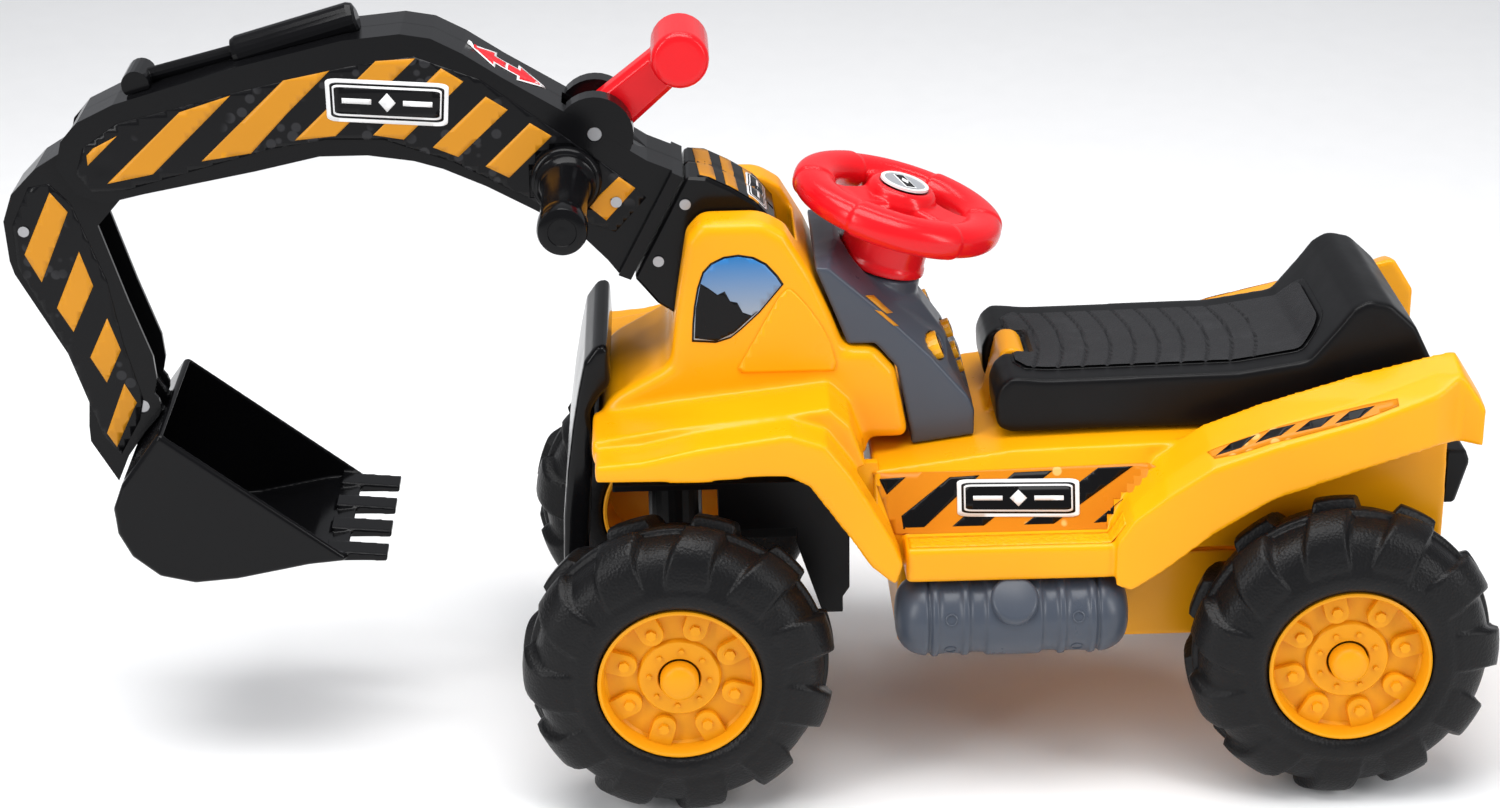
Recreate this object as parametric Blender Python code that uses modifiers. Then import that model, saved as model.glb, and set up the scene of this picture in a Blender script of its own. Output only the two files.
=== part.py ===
"""A child's ride-on digger with a steered front axle, an opening seat and a lever-worked digging arm.

Units are metres. -X is the front of the toy, +Z is up, Y = 0 is its mirror plane and Z = 0 is the ground.
"""

import math

import bmesh
import bpy
from mathutils import Matrix, Vector

MM = 0.001

# Overall sizes
WHEELBASE = 380 * MM
TYRE_R = 89.4 * MM
TYRE_W = 62 * MM
TRACK = 231 * MM  # between the tyres' middle planes
FRONT_AXLE_X = -46.2 * MM

# Clearances
GAP = 0.4 * MM  # between pieces that touch
RUN = 0.6 * MM  # round a turning shaft
WALL = 3 * MM  # moulded walls

# Wheels and axles
RIM_R = 46.5 * MM
BEAD_R = RIM_R + GAP + 0.6 * MM
HUB_CORE_R = 14 * MM
AXLE_R = 5 * MM
CAP_R = 11 * MM
NUT_T = 1.6 * MM

# Body widths, all half widths
CAB_HALF = 55 * MM
COWL_FLANK_HALF = 95 * MM
FENDER_HALF = 120 * MM
DECK_HALF = 77 * MM
PANEL_HALF = 92 * MM
SILL_HALF = 114 * MM
REAR_FENDER_HALF = 117.6 * MM
FRAME_HALF = 62 * MM
BUMPER_HALF = 56 * MM
CONSOLE_HALF = 50 * MM
SEAT_HALF = 60 * MM
TUB_HALF = 42 * MM
SOUND_HALF = 30 * MM
KNUCKLE_HALF = 17 * MM

# Digging arm
BOOM_HALF = 24 * MM
BLOCK_HALF = 28 * MM
STICK_HALF = BOOM_HALF - 5 * MM
BUCKET_HALF = 60 * MM
HANDLE_R = 12.3 * MM
HANDLE_END = 113 * MM
LEVER_HALF = 9 * MM
CRANK = 16 * MM  # of the lever and of the stick
LINK_R = 3.2 * MM
LINK_ROOM = LINK_R + 1.4 * MM  # half width of the slots it swings in
PIN_R = 4 * MM
SMALL_PIN_R = 2.5 * MM
CHANNEL_R = 46 * MM
TURRET_PIN_R = 5 * MM

# Steering
RAKE = math.radians(16.5)
COLUMN_R = 4 * MM
STEERING_R = 53 * MM
STEERING_TUBE_R = 9.5 * MM
STEERING_CRANK = 22 * MM
KINGPIN_R = 5 * MM

# Side tank
TANK_R = 25 * MM
TANK_LENGTH = 134 * MM

AXLE_Z = TYRE_R
REAR_AXLE_X = FRONT_AXLE_X + WHEELBASE
WHEEL_Y = TRACK / 2

YELLOW = (0.90, 0.42, 0.012)
BLACK = (0.012, 0.012, 0.014)
SEAT_BLACK = (0.03, 0.03, 0.032)
GREY = (0.07, 0.085, 0.105)
RED = (0.72, 0.012, 0.025)
STEEL = (0.55, 0.55, 0.56)

for old in list(bpy.data.objects):
    bpy.data.objects.remove(old, do_unlink=True)

parts = bpy.data.collections.new("ride_on_digger")
cutters = bpy.data.collections.new("cutters")
bpy.context.scene.collection.children.link(parts)
bpy.context.scene.collection.children.link(cutters)


# ---------------------------------------------------------------- helpers


def material(name, colour, roughness, metallic=0.0):
    made = bpy.data.materials.new(name)
    made.use_nodes = True
    shader = made.node_tree.nodes["Principled BSDF"]
    shader.inputs["Base Color"].default_value = (*colour, 1.0)
    shader.inputs["Roughness"].default_value = roughness
    shader.inputs["Metallic"].default_value = metallic
    return made


def front(x, z):
    """A point given in mm from the front axle, rearwards and up."""
    return (FRONT_AXLE_X + x * MM, AXLE_Z + z * MM)


def rear(x, z):
    """A point given in mm from the rear axle, rearwards and up."""
    return (REAR_AXLE_X + x * MM, AXLE_Z + z * MM)


def outline(place, *points):
    return [place(x, z) for x, z in points]


def link(name, mesh, where=(0, 0, 0)):
    made = bpy.data.objects.new(name, mesh)
    made.location = where
    parts.objects.link(made)
    return made


def as_cutter(shape):
    parts.objects.unlink(shape)
    cutters.objects.link(shape)
    shape.hide_render = True
    shape.display_type = "WIRE"
    return shape


def flat(name, points, y0, y1):
    """A flat outline in the XZ plane, y0 to y1 thick."""
    curve = bpy.data.curves.new(name, "CURVE")
    curve.dimensions = "2D"
    curve.fill_mode = "BOTH"
    curve.extrude = abs(y1 - y0) / 2
    spline = curve.splines.new("POLY")
    spline.points.add(len(points) - 1)
    for spot, (x, z) in zip(spline.points, points):
        spot.co = (x, z, 0, 1)
    spline.use_cyclic_u = True
    mesh = mesh_of(name, curve)
    edit(mesh, merge_flat_faces)
    mesh.transform(Matrix.Rotation(math.pi / 2, 4, "X"))
    mesh.transform(Matrix.Translation((0, (y0 + y1) / 2, 0)))
    return link(name, mesh)


def edit(mesh, change):
    bm = bmesh.new()
    bm.from_mesh(mesh)
    change(bm)
    bmesh.ops.recalc_face_normals(bm, faces=bm.faces)
    bm.to_mesh(mesh)
    bm.free()


def tube(name, points, radius):
    """A round bar through points, made a mesh so that it can be cut and joined."""
    path = bpy.data.curves.new(name, "CURVE")
    path.dimensions = "3D"
    path.bevel_depth = radius
    path.bevel_resolution = 2
    path.use_fill_caps = True
    spline = path.splines.new("POLY")
    spline.points.add(len(points) - 1)
    for spot, point in zip(spline.points, points):
        spot.co = (*point, 1)
    return link(name, mesh_of(name, path))


def mesh_of(name, curve):
    """The mesh of a curve, with its caps welded on."""
    holder = bpy.data.objects.new(name, curve)
    parts.objects.link(holder)
    bpy.context.view_layer.update()
    seen = holder.evaluated_get(bpy.context.evaluated_depsgraph_get())
    mesh = bpy.data.meshes.new_from_object(seen)
    bpy.data.objects.remove(holder, do_unlink=True)
    edit(mesh, weld)
    return mesh


def weld(bm):
    bmesh.ops.remove_doubles(bm, verts=bm.verts, dist=1e-6)


def merge_flat_faces(bm):
    bmesh.ops.dissolve_limit(bm, angle_limit=0.001, verts=bm.verts, edges=bm.edges)


def loft(name, sections):
    """A solid through closed sections with the same number of points."""
    bm = bmesh.new()
    rings = [[bm.verts.new(point) for point in section] for section in sections]
    count = len(rings[0])
    for ring, following in zip(rings, rings[1:]):
        for i in range(count):
            j = (i + 1) % count
            bm.faces.new((ring[i], ring[j], following[j], following[i]))
    bm.faces.new(rings[0])
    bm.faces.new(rings[-1])
    bmesh.ops.recalc_face_normals(bm, faces=bm.faces)
    mesh = bpy.data.meshes.new(name)
    bm.to_mesh(mesh)
    bm.free()
    return link(name, mesh)


def rod(name, start, end, radius, sides=24, end_radius=None):
    """A cylinder or cone between two points."""
    start, end = Vector(start), Vector(end)
    along = end - start
    bm = bmesh.new()
    bmesh.ops.create_cone(
        bm,
        cap_ends=True,
        segments=sides,
        radius1=radius,
        radius2=radius if end_radius is None else end_radius,
        depth=along.length,
    )
    mesh = bpy.data.meshes.new(name)
    bm.to_mesh(mesh)
    bm.free()
    mesh.transform(along.to_track_quat("Z", "Y").to_matrix().to_4x4())
    mesh.shade_smooth()
    mesh.set_sharp_from_angle(angle=math.radians(40))
    return link(name, mesh, (start + end) / 2)


def box(name, low, high):
    size = [b - a for a, b in zip(low, high)]
    bm = bmesh.new()
    bmesh.ops.create_cube(bm, size=1.0)
    mesh = bpy.data.meshes.new(name)
    bm.to_mesh(mesh)
    bm.free()
    mesh.transform(Matrix.Diagonal((*size, 1)))
    return link(name, mesh, [(a + b) / 2 for a, b in zip(low, high)])


def turned(name, profile, steps=32, closed=True):
    """A profile of (radius, height) points turned about Z; an open profile starts and ends on the axis."""
    mesh = bpy.data.meshes.new(name)
    points = [(r, 0, h) for r, h in profile]
    edges = [(i, i + 1) for i in range(len(points) - 1)]
    if closed:
        edges.append((len(points) - 1, 0))
    mesh.from_pydata(points, edges, [])
    made = link(name, mesh)
    screw = made.modifiers.new("turn", "SCREW")
    screw.axis = "Z"
    screw.steps = screw.render_steps = steps
    screw.use_merge_vertices = True
    screw.merge_threshold = 1e-5
    screw.use_smooth_shade = False
    return made


def boolean(shape, other, operation):
    if other.users_collection[0] is parts:
        as_cutter(other)
    step = shape.modifiers.new(operation.lower(), "BOOLEAN")
    step.operation = operation
    step.object = other
    return shape


def cut(shape, *others):
    for other in others:
        boolean(shape, other, "DIFFERENCE")
    return shape


def join(shape, *others):
    for other in others:
        boolean(shape, other, "UNION")
    return shape


def rounded(shape, width, segments=1, angle=30):
    step = shape.modifiers.new("edges", "BEVEL")
    step.width = width
    step.segments = segments
    step.limit_method = "ANGLE"
    step.angle_limit = math.radians(angle)
    return shape


def painted(shape, look):
    shape.data.materials.clear()
    shape.data.materials.append(look)
    return shape


def pivot(name, where, parent=None):
    """An empty on a joint's axis. Pieces under it keep their world places."""
    made = bpy.data.objects.new(name, None)
    made.location = Vector(where) - (Vector(parent["at"]) if parent else Vector())
    made["at"] = tuple(where)
    made.parent = parent
    parts.objects.link(made)
    return made


def carry(holder, *shapes):
    for shape in shapes:
        shape.parent = holder
        shape.location = shape.location - Vector(holder["at"])


def inset(points, distance):
    """The outline moved inwards by a distance, with mitred corners."""
    area = sum(a[0] * b[1] - b[0] * a[1] for a, b in zip(points, points[1:] + points[:1]))
    side = 1 if area > 0 else -1
    moved = []
    for before, here, after in zip(points[-1:] + points[:-1], points, points[1:] + points[:1]):
        into = Vector((here[0] - before[0], here[1] - before[1])).normalized()
        out = Vector((after[0] - here[0], after[1] - here[1])).normalized()
        normal = Vector((-into.y - out.y, into.x + out.x)).normalized()
        reach = distance / max(0.5, normal.dot(Vector((-into.y, into.x))))
        moved.append((here[0] + side * normal.x * reach, here[1] + side * normal.y * reach))
    return moved


def arc(centre, radius, start, end, count):
    """Points on an arc in the XZ plane, angles in degrees from +X towards +Z."""
    angles = [math.radians(start + (end - start) * i / (count - 1)) for i in range(count)]
    return [(centre[0] + radius * math.cos(a), centre[1] + radius * math.sin(a)) for a in angles]


def at(point, y=0.0):
    return (point[0], y, point[1])


yellow = material("yellow_plastic", YELLOW, 0.3)
black = material("black_plastic", BLACK, 0.28)
rubbery = material("tyre_plastic", BLACK, 0.55)
seat_black = material("seat_plastic", SEAT_BLACK, 0.45)
grey = material("grey_plastic", GREY, 0.4)
red = material("red_plastic", RED, 0.25)
steel = material("steel", STEEL, 0.3, 1.0)


# ---------------------------------------------------------------- wheels


HUB_OUT = TYRE_W / 2 - 2 * MM  # the rim's outer face from the wheel's middle plane
HUB_IN = -TYRE_W / 2 + 2 * MM
CORE_OUT = 19 * MM
CORE_IN = -26 * MM
ROD_END = WHEEL_Y + CORE_OUT + 3 * MM


def tyre_profile():
    """A blown shell, open towards the hub."""
    half = TYRE_W / 2
    outer = [
        (BEAD_R, half - 3 * MM),
        (60 * MM, half),
        (75 * MM, half - 2 * MM),
        (TYRE_R - 3 * MM, half - 10 * MM),
        (TYRE_R, 0.0),
    ]
    lower = [(r, -h) for r, h in reversed(outer[:-1])]
    inner = [
        (BEAD_R, -half + 3 * MM + WALL),
        (60 * MM, -half + WALL),
        (TYRE_R - 3 * MM - WALL, -half + 12 * MM),
        (TYRE_R - 3 * MM - WALL, half - 12 * MM),
        (60 * MM, half - WALL),
        (BEAD_R, half - 3 * MM - WALL),
    ]
    return outer + lower + inner


def hub_profile():
    """A spool: rim barrel, dished plate and a bored core."""
    bore = AXLE_R + RUN / 2
    return [
        (RIM_R - WALL, HUB_OUT),
        (RIM_R, HUB_OUT),
        (RIM_R, HUB_IN),
        (RIM_R - WALL, HUB_IN),
        (RIM_R - WALL, HUB_OUT - 14 * MM),
        (HUB_CORE_R, HUB_OUT - 14 * MM),
        (HUB_CORE_R, CORE_IN),
        (bore, CORE_IN),
        (bore, CORE_OUT),
        (HUB_CORE_R, CORE_OUT),
        (RIM_R - 8 * MM, HUB_OUT - 10 * MM),
    ]


def cap_profile():
    """A dome that hides the push nut."""
    base = CORE_OUT + GAP
    top = HUB_OUT + 1 * MM
    inside = CAP_R - 1.5 * MM
    return [
        (0.0, top),
        (CAP_R * 0.6, top - 1.2 * MM),
        (CAP_R, top - 4.5 * MM),
        (CAP_R, base),
        (inside, base),
        (inside, top - 4.5 * MM),
        (0.0, top - 2.5 * MM),
    ]


def make_wheel(tag, axle_x, side, holder):
    """Tyre, hub and cap on one wheel; their turned meshes stand on the axle with their tops outboard."""
    centre = (axle_x, side * WHEEL_Y, AXLE_Z)
    tyre = painted(turned("tyre_" + tag, tyre_profile(), 28), rubbery)
    hub = painted(turned("hub_" + tag, hub_profile(), 24), yellow)
    cap = painted(turned("hub_cap_" + tag, cap_profile(), 12, False), yellow)
    for piece in (tyre, hub, cap):
        piece.rotation_euler = (-side * math.pi / 2, 0, 0)
        piece.location = centre
    spin = pivot("spin_" + tag, centre, holder)
    carry(spin, tyre, hub, cap)
    return spin


def make_push_nut(tag, axle_x, side):
    """A sprung washer pressed on the rod's end, inside the cap."""
    inner = side * (WHEEL_Y + CORE_OUT + GAP)
    outer = inner + side * NUT_T
    nut = rod("push_nut_" + tag, (axle_x, inner, AXLE_Z), (axle_x, outer, AXLE_Z), CAP_R - 2.5 * MM, 12)
    start, end = (axle_x, inner - side * MM, AXLE_Z), (axle_x, outer + side * MM, AXLE_Z)
    return painted(cut(nut, rod("nut_hole", start, end, AXLE_R + 0.2 * MM, 12)), steel)


def make_axle(name, axle_x):
    return painted(rod(name, (axle_x, -ROD_END, AXLE_Z), (axle_x, ROD_END, AXLE_Z), AXLE_R, 20), steel)


def axle_bore(axle_x):
    return rod("axle_bore", (axle_x, -TRACK, AXLE_Z), (axle_x, TRACK, AXLE_Z), AXLE_R + RUN / 2, 20)


CARRIER_HALF = WHEEL_Y + CORE_IN - RUN  # the beams reach in to the hub cores


# ---------------------------------------------------------------- steering


WHEEL_CENTRE = front(132.9, 233)
COLUMN_DIR = Vector((math.sin(RAKE), 0, math.cos(RAKE)))
COLUMN_SIDE = Vector((math.cos(RAKE), 0, -math.sin(RAKE)))
ARM_Z = 30 * MM  # the steering arm's middle above the axle
ARM_T = 6 * MM
FRAME_DECK_Z = 83 * MM  # the front frame's deck above the axle
FRAME_DECK_T = 4 * MM


def on_column(along, aside=0.0):
    return Vector(at(WHEEL_CENTRE)) + COLUMN_DIR * along + COLUMN_SIDE * aside


def column_bore(radius, top=0.0):
    return rod("column_bore", on_column(-250 * MM), on_column(top), radius, 20)


def make_steering_wheel():
    bm = bmesh.new()
    bmesh.ops.create_cone(
        bm, cap_ends=True, segments=28, radius1=STEERING_R - 4 * MM, radius2=STEERING_R - 4 * MM, depth=7 * MM
    )
    mesh = bpy.data.meshes.new("steering_wheel")
    bm.to_mesh(mesh)
    bm.free()
    turn = COLUMN_DIR.to_track_quat("Z", "Y").to_matrix().to_4x4()
    mesh.transform(turn)
    wheel = link("steering_wheel", mesh, on_column(0))
    bpy.ops.mesh.primitive_torus_add(
        major_radius=STEERING_R, minor_radius=STEERING_TUBE_R, major_segments=28, minor_segments=8
    )
    ring = bpy.context.active_object
    for holder in list(ring.users_collection):
        holder.objects.unlink(ring)
    parts.objects.link(ring)
    ring.data.transform(turn)
    ring.location = on_column(0)
    join(wheel, ring)
    for i in range(3):
        opening = flat("opening", window_outline(), -20 * MM, 20 * MM)
        opening.data.transform(Matrix.Rotation(-math.pi / 2, 4, "X"))
        opening.data.transform(Matrix.Rotation(math.radians(120 * i), 4, "Z"))
        opening.data.transform(turn)
        opening.location = on_column(0)
        cut(wheel, opening)
    join(wheel, rod("hub", on_column(-14 * MM), on_column(12 * MM), 21 * MM, 24))
    join(wheel, rod("collar", on_column(-37 * MM), on_column(-6 * MM), 26 * MM, 24))
    cut(wheel, column_bore(COLUMN_R + 0.15 * MM))
    return painted(wheel, red)


def window_outline():
    """One of the three openings between the spokes."""
    reach = STEERING_R - STEERING_TUBE_R + MM
    return arc((0, 0), reach, 52, 128, 8) + arc((0, 0), 24 * MM, 118, 62, 5)


def make_steering_rod():
    """A bent rod: the column, a crank and the pin that works the steering arm."""
    low = on_column(-(233 - 62) * MM / math.cos(RAKE))
    elbow = low + COLUMN_SIDE * STEERING_CRANK
    pin_z = AXLE_Z + ARM_Z - ARM_T / 2 - 5 * MM
    tip = elbow - COLUMN_DIR * ((elbow.z - pin_z) / COLUMN_DIR.z)
    made = tube("steering_rod", (on_column(-0.5 * MM), low, elbow, tip), COLUMN_R)
    return painted(made, steel), tip


def make_axle_carrier(tip):
    half = 14 * MM
    low = AXLE_Z - 14 * MM
    high = AXLE_Z + 15 * MM
    top = AXLE_Z + ARM_Z + ARM_T / 2
    beam = box(
        "front_axle_carrier",
        (FRONT_AXLE_X - half, -CARRIER_HALF, low),
        (FRONT_AXLE_X + half, CARRIER_HALF, high),
    )
    rounded(beam, 2 * MM)
    boss = rod("boss", (FRONT_AXLE_X, 0, high - 2 * MM), (FRONT_AXLE_X, 0, top), 15 * MM, 24)
    arm = box(
        "arm",
        (FRONT_AXLE_X, -10 * MM, top - ARM_T),
        (tip.x + 14 * MM, 10 * MM, top),
    )
    join(beam, boss, arm)
    wide = COLUMN_R + 2 * MM
    slot = box("slot", (tip.x - 8 * MM, -wide, top - 2 * ARM_T), (tip.x + 8.5 * MM, wide, top + ARM_T))
    bore = rod(
        "kingpin_bore",
        (FRONT_AXLE_X, 0, AXLE_Z + AXLE_R + 2.5 * MM),
        (FRONT_AXLE_X, 0, top + 5 * MM),
        KINGPIN_R + RUN / 2,
        20,
    )
    cut(beam, slot, bore, axle_bore(FRONT_AXLE_X))
    return painted(beam, black)


def make_kingpin():
    deck = AXLE_Z + FRAME_DECK_Z + FRAME_DECK_T
    low = AXLE_Z + AXLE_R + 3.5 * MM
    made = rod("kingpin", (FRONT_AXLE_X, 0, low), (FRONT_AXLE_X, 0, deck + 2 * MM), KINGPIN_R, 20)
    head = rod("head", (FRONT_AXLE_X, 0, deck + GAP), (FRONT_AXLE_X, 0, deck + 4 * MM), 9 * MM, 20)
    return painted(join(made, head), steel)


def make_front_frame():
    """The black frame under the cowl: a deck, a kingpin tower and two side cheeks."""
    deck_top = AXLE_Z + FRAME_DECK_Z + FRAME_DECK_T
    x0, x1 = FRONT_AXLE_X - 36 * MM, FRONT_AXLE_X + 106 * MM
    deck = box("front_frame", (x0, -FRAME_HALF, deck_top - FRAME_DECK_T), (x1, FRAME_HALF, deck_top))
    top = AXLE_Z + ARM_Z + ARM_T / 2 + RUN
    tower = rod("tower", (FRONT_AXLE_X, 0, top), (FRONT_AXLE_X, 0, deck_top - MM), 16 * MM, 24)
    join(deck, tower)
    for side in (-1, 1):
        near, far = sorted((side * FRAME_HALF, side * (FRAME_HALF - 4 * MM)))
        cheek = flat(
            "cheek",
            outline(
                front, (25, 86), (25, 57), (70, 57), (70, 48),
                (85, 2), (97, 2), (97, 12), (101, 18), (101, 86)
            ),
            near,
            far,
        )
        join(deck, cheek)
    brace = box(
        "brace",
        (FRONT_AXLE_X + 25 * MM, -FRAME_HALF + 2 * MM, deck_top - 28 * MM),
        (FRONT_AXLE_X + 29 * MM, FRAME_HALF - 2 * MM, deck_top - MM),
    )
    join(deck, brace)
    bore = rod(
        "kingpin_hole", (FRONT_AXLE_X, 0, AXLE_Z),
        (FRONT_AXLE_X, 0, deck_top + 9 * MM), KINGPIN_R + 0.15 * MM, 20
    )
    cut(deck, bore, column_bore(COLUMN_R + RUN / 2))
    return painted(deck, black)


# ---------------------------------------------------------------- body


BOOM_PIVOT = front(26, 216)


def cab_outline():
    """The hood and cab in side view."""
    return outline(
        front,
        (-44, 97), (-44, 111), (-40, 133), (-32, 140), (-7, 154), (-1, 158), (4, 196), (10, 233),
        (18, 243), (53, 243), (66, 235), (80, 211), (91, 186), (99, 165), (116, 165), (128, 151),
        (136, 109), (112, 109), (112, 97),
    )


def cab_hollow():
    """The space under the hood and the shelf behind the cab, open below."""
    return outline(
        front,
        (-40, 80), (-40, 111), (-36, 131), (-30, 136), (-6, 150), (8, 157), (94, 158), (114, 161),
        (125, 149), (131.5, 113), (108, 113), (108, 80),
    )


def horn_hollow():
    return outline(
        front, (4, 150), (9, 196), (15, 231), (20, 239), (51, 239), (62, 232), (76, 208), (87, 184), (93, 150)
    )


def flank_outline():
    """The cowl's flank between the cab and the fender."""
    return outline(
        front,
        (-46, 117), (-46, 129), (-1, 136), (64, 143), (88, 146), (100, 135), (109, 109),
        (84, 111), (75, 114), (64, 118), (14, 117),
    )


def fender_outline():
    """The front fender, whose tail comes down behind the wheel."""
    return outline(
        front,
        (-44, 115), (14, 113), (50, 116), (64, 115), (75, 109), (98, 76), (110, 58), (124, 46),
        (128, 59), (122, 74), (110, 96), (99, 115), (85, 134), (64, 141), (14, 134), (-18, 127), (-44, 125),
    )


def fender_hollow():
    """What is taken from under the fender, leaving its top skin and outer lip."""
    return outline(
        front,
        (-41, 90), (-41, 121), (-18, 123), (14, 130), (63, 137), (82, 130), (95.5, 112), (106.5, 94),
        (117, 76), (100, 66), (83, 86), (60, 90),
    )


def make_front_cowl():
    cab = flat("front_cowl", cab_outline(), -CAB_HALF, CAB_HALF)
    rounded(cab, 5 * MM, 2)
    for side in (-1, 1):
        low, high = sorted((side * (CAB_HALF - 5 * MM), side * COWL_FLANK_HALF))
        join(cab, flat("flank", flank_outline(), low, high))
        low, high = sorted((side * (COWL_FLANK_HALF - 1.5 * MM), side * FENDER_HALF))
        join(cab, flat("fender", fender_outline(), low, high))
    hollow = CAB_HALF - WALL
    cut(cab, flat("hood_hollow", cab_hollow(), -hollow, hollow))
    for side in (-1, 1):
        low, high = sorted((side * (BLOCK_HALF + 2 * MM + WALL), side * (hollow - 0.4 * MM)))
        cut(cab, flat("horn_hollow", horn_hollow(), low, high))
        low, high = sorted((side * (CAB_HALF + 0.7 * MM), side * (FENDER_HALF - WALL)))
        cut(cab, flat("fender_hollow", fender_hollow(), low, high))
    room = BLOCK_HALF + 2 * MM
    circle = rod("channel", at(BOOM_PIVOT, -room), at(BOOM_PIVOT, room), CHANNEL_R, 40)
    above = box(
        "channel_top",
        (BOOM_PIVOT[0] - 90 * MM, -room, BOOM_PIVOT[1] - 4 * MM),
        (BOOM_PIVOT[0] + CHANNEL_R * 0.99, room, BOOM_PIVOT[1] + 90 * MM),
    )
    pin = rod(
        "pin_bore", at(BOOM_PIVOT, -CAB_HALF + 5 * MM),
        at(BOOM_PIVOT, CAB_HALF - 5 * MM), TURRET_PIN_R + 0.15 * MM, 20
    )
    cut(cab, circle, above, pin, column_bore(COLUMN_R + 1.5 * MM))
    return painted(cab, yellow)


def deck_section(x, top_half, top, low_half, low):
    """The body's cross-section under the deck: flat top and sides that lean out to the sill."""
    return [
        (x, -top_half, top), (x, top_half, top), (x, low_half, low + 2 * MM), (x, low_half, low - 20 * MM),
        (x, -low_half, low - 20 * MM), (x, -low_half, low + 2 * MM),
    ]


def deck_loft(name, drop, slim):
    """The deck from behind the cowl to the tail; drop and slim shrink it for its hollow."""
    stations = [
        (front(114 + slim / MM, 0)[0], DECK_HALF, 99, PANEL_HALF),
        (front(194, 0)[0], DECK_HALF, 110, PANEL_HALF),
        (rear(-112, 0)[0], DECK_HALF, 112, PANEL_HALF),
        (rear(-104, 0)[0], DECK_HALF, 112, 80 * MM),
        (rear(64 - slim / MM, 0)[0], DECK_HALF - 3 * MM, 114, 78 * MM),
    ]
    return loft(
        name,
        [
            deck_section(x, half - slim, AXLE_Z + z * MM - drop, wide - slim, AXLE_Z + 66 * MM - drop)
            for x, half, z, wide in stations
        ],
    )


LOWER_HALF = 76 * MM


def lower_outline():
    """The lower hull between the side tanks and between the rear wheels."""
    x0, _ = front(128, 0)
    x1, _ = rear(54, 0)
    top, low = AXLE_Z + 60 * MM, AXLE_Z - 12 * MM
    return [
        (x0, low), (x0, top), (x1, top), (x1, low + 40 * MM),
        (rear(30, 0)[0], low - 6 * MM), (rear(-60, 0)[0], low)
    ]


def rear_fender(name, slim):
    """One fender as a loft of sections across the toy, from its foot on the sill to its tip."""
    inner = LOWER_HALF - 2.6 * MM + slim
    stations = [
        (-131, 70, 117, 68, 42), (-122, 86, 117, 82, 38), (-104, 105, 117, 96, 50), (-78, 122, 117, 113, 71),
        (-44, 135, 116, 124, 92), (9, 151, 112, 137, 108), (49, 161, 104, 149, 117), (63, 164, 97, 158, 117),
        (76, 143, 106, 139, 117),
    ]
    sections = []
    for x, inner_top, half, outer_top, low in stations:
        wide = REAR_FENDER_HALF - (117 - half) * MM - slim
        crest = wide - 14 * MM
        place = [rear(x, z)[1] for z in (inner_top, (inner_top + outer_top) / 2 + 1, outer_top, low)]
        sections.append(
            [
                (rear(x, 0)[0], inner, place[0] - slim),
                (rear(x, 0)[0], crest, place[1] - slim),
                (rear(x, 0)[0], wide, place[2] - slim * 1.4),
                (rear(x, 0)[0], wide, place[3] - 3 * slim),
                (rear(x, 0)[0], inner, place[3] - 3 * slim),
            ]
        )
    return loft(name, sections)


def mirrored(shape):
    shape.data.transform(Matrix.Diagonal((1, -1, 1, 1)))
    shape.data.flip_normals()
    return shape


TUB = (front(214, 0)[0], rear(-18, 0)[0], AXLE_Z + 20 * MM)  # front, back and floor of the seat's box
SEAT_PIVOT = front(199, 139)
KNUCKLE_R = 9 * MM


def make_rear_body():
    body = deck_loft("rear_body", 0.0, 0.0)
    sill = box(
        "sill",
        (front(130, 0)[0], -SILL_HALF, AXLE_Z + 45 * MM),
        (rear(-120, 0)[0], SILL_HALF, AXLE_Z + 66 * MM),
    )
    lower = flat("lower_hull", lower_outline(), -LOWER_HALF, LOWER_HALF)
    join(body, rounded(sill, 1.5 * MM), lower)
    for shape in (rear_fender("fender", 0.0), mirrored(rear_fender("fender", 0.0))):
        join(body, shape)
    room = deck_loft("deck_hollow", WALL, WALL)
    under = flat("lower_hollow", inset(lower_outline(), WALL), -LOWER_HALF + WALL, LOWER_HALF - WALL)
    open_low = box(
        "open_below",
        (front(131.5, 0)[0], -LOWER_HALF + WALL, AXLE_Z - 60 * MM),
        (rear(49, 0)[0], LOWER_HALF - WALL, AXLE_Z + 58 * MM),
    )
    walls = box(
        "tub_walls",
        (TUB[0] - WALL, -TUB_HALF - WALL, TUB[2] - WALL),
        (TUB[1] + WALL, TUB_HALF + WALL, AXLE_Z + 130 * MM),
    )
    void = join(room, under, open_low)
    cut(void, walls)
    cut(body, void)
    cut(body, box("tub", (TUB[0], -TUB_HALF, TUB[2]), (TUB[1], TUB_HALF, AXLE_Z + 140 * MM)))
    for side in (-1, 1):
        hollow = rear_fender("fender_hollow", WALL)
        cut(body, hollow if side > 0 else mirrored(hollow))
        low, high = sorted((side * (PANEL_HALF + WALL), side * (SILL_HALF - WALL)))
        cut(
            body,
            box("sill_hollow", (front(133, 0)[0], low, AXLE_Z), (rear(-134, 0)[0], high, AXLE_Z + 63 * MM))
        )
    for side in (-1, 1):
        boss = rod(
            "axle_boss",
            (REAR_AXLE_X, side * (LOWER_HALF - WALL - 8 * MM), AXLE_Z),
            (REAR_AXLE_X, side * CARRIER_HALF, AXLE_Z),
            HUB_CORE_R,
            24,
        )
        join(body, boss)
    join(body, make_knuckle())
    cut(body, axle_bore(REAR_AXLE_X))
    cut(body, rod("pin_bore", at(SEAT_PIVOT, -40 * MM), at(SEAT_PIVOT, 40 * MM), SMALL_PIN_R + RUN / 2, 16))
    return painted(body, yellow)


def make_knuckle():
    """The lug at the front of the seat that its pin goes through."""
    x, z = SEAT_PIVOT
    deck = AXLE_Z + 106 * MM
    points = arc((x, z), KNUCKLE_R, 0, 140, 7) + [(x - 15 * MM, deck), (x + KNUCKLE_R, deck)]
    return flat("knuckle", points, -KNUCKLE_HALF, KNUCKLE_HALF)


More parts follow.
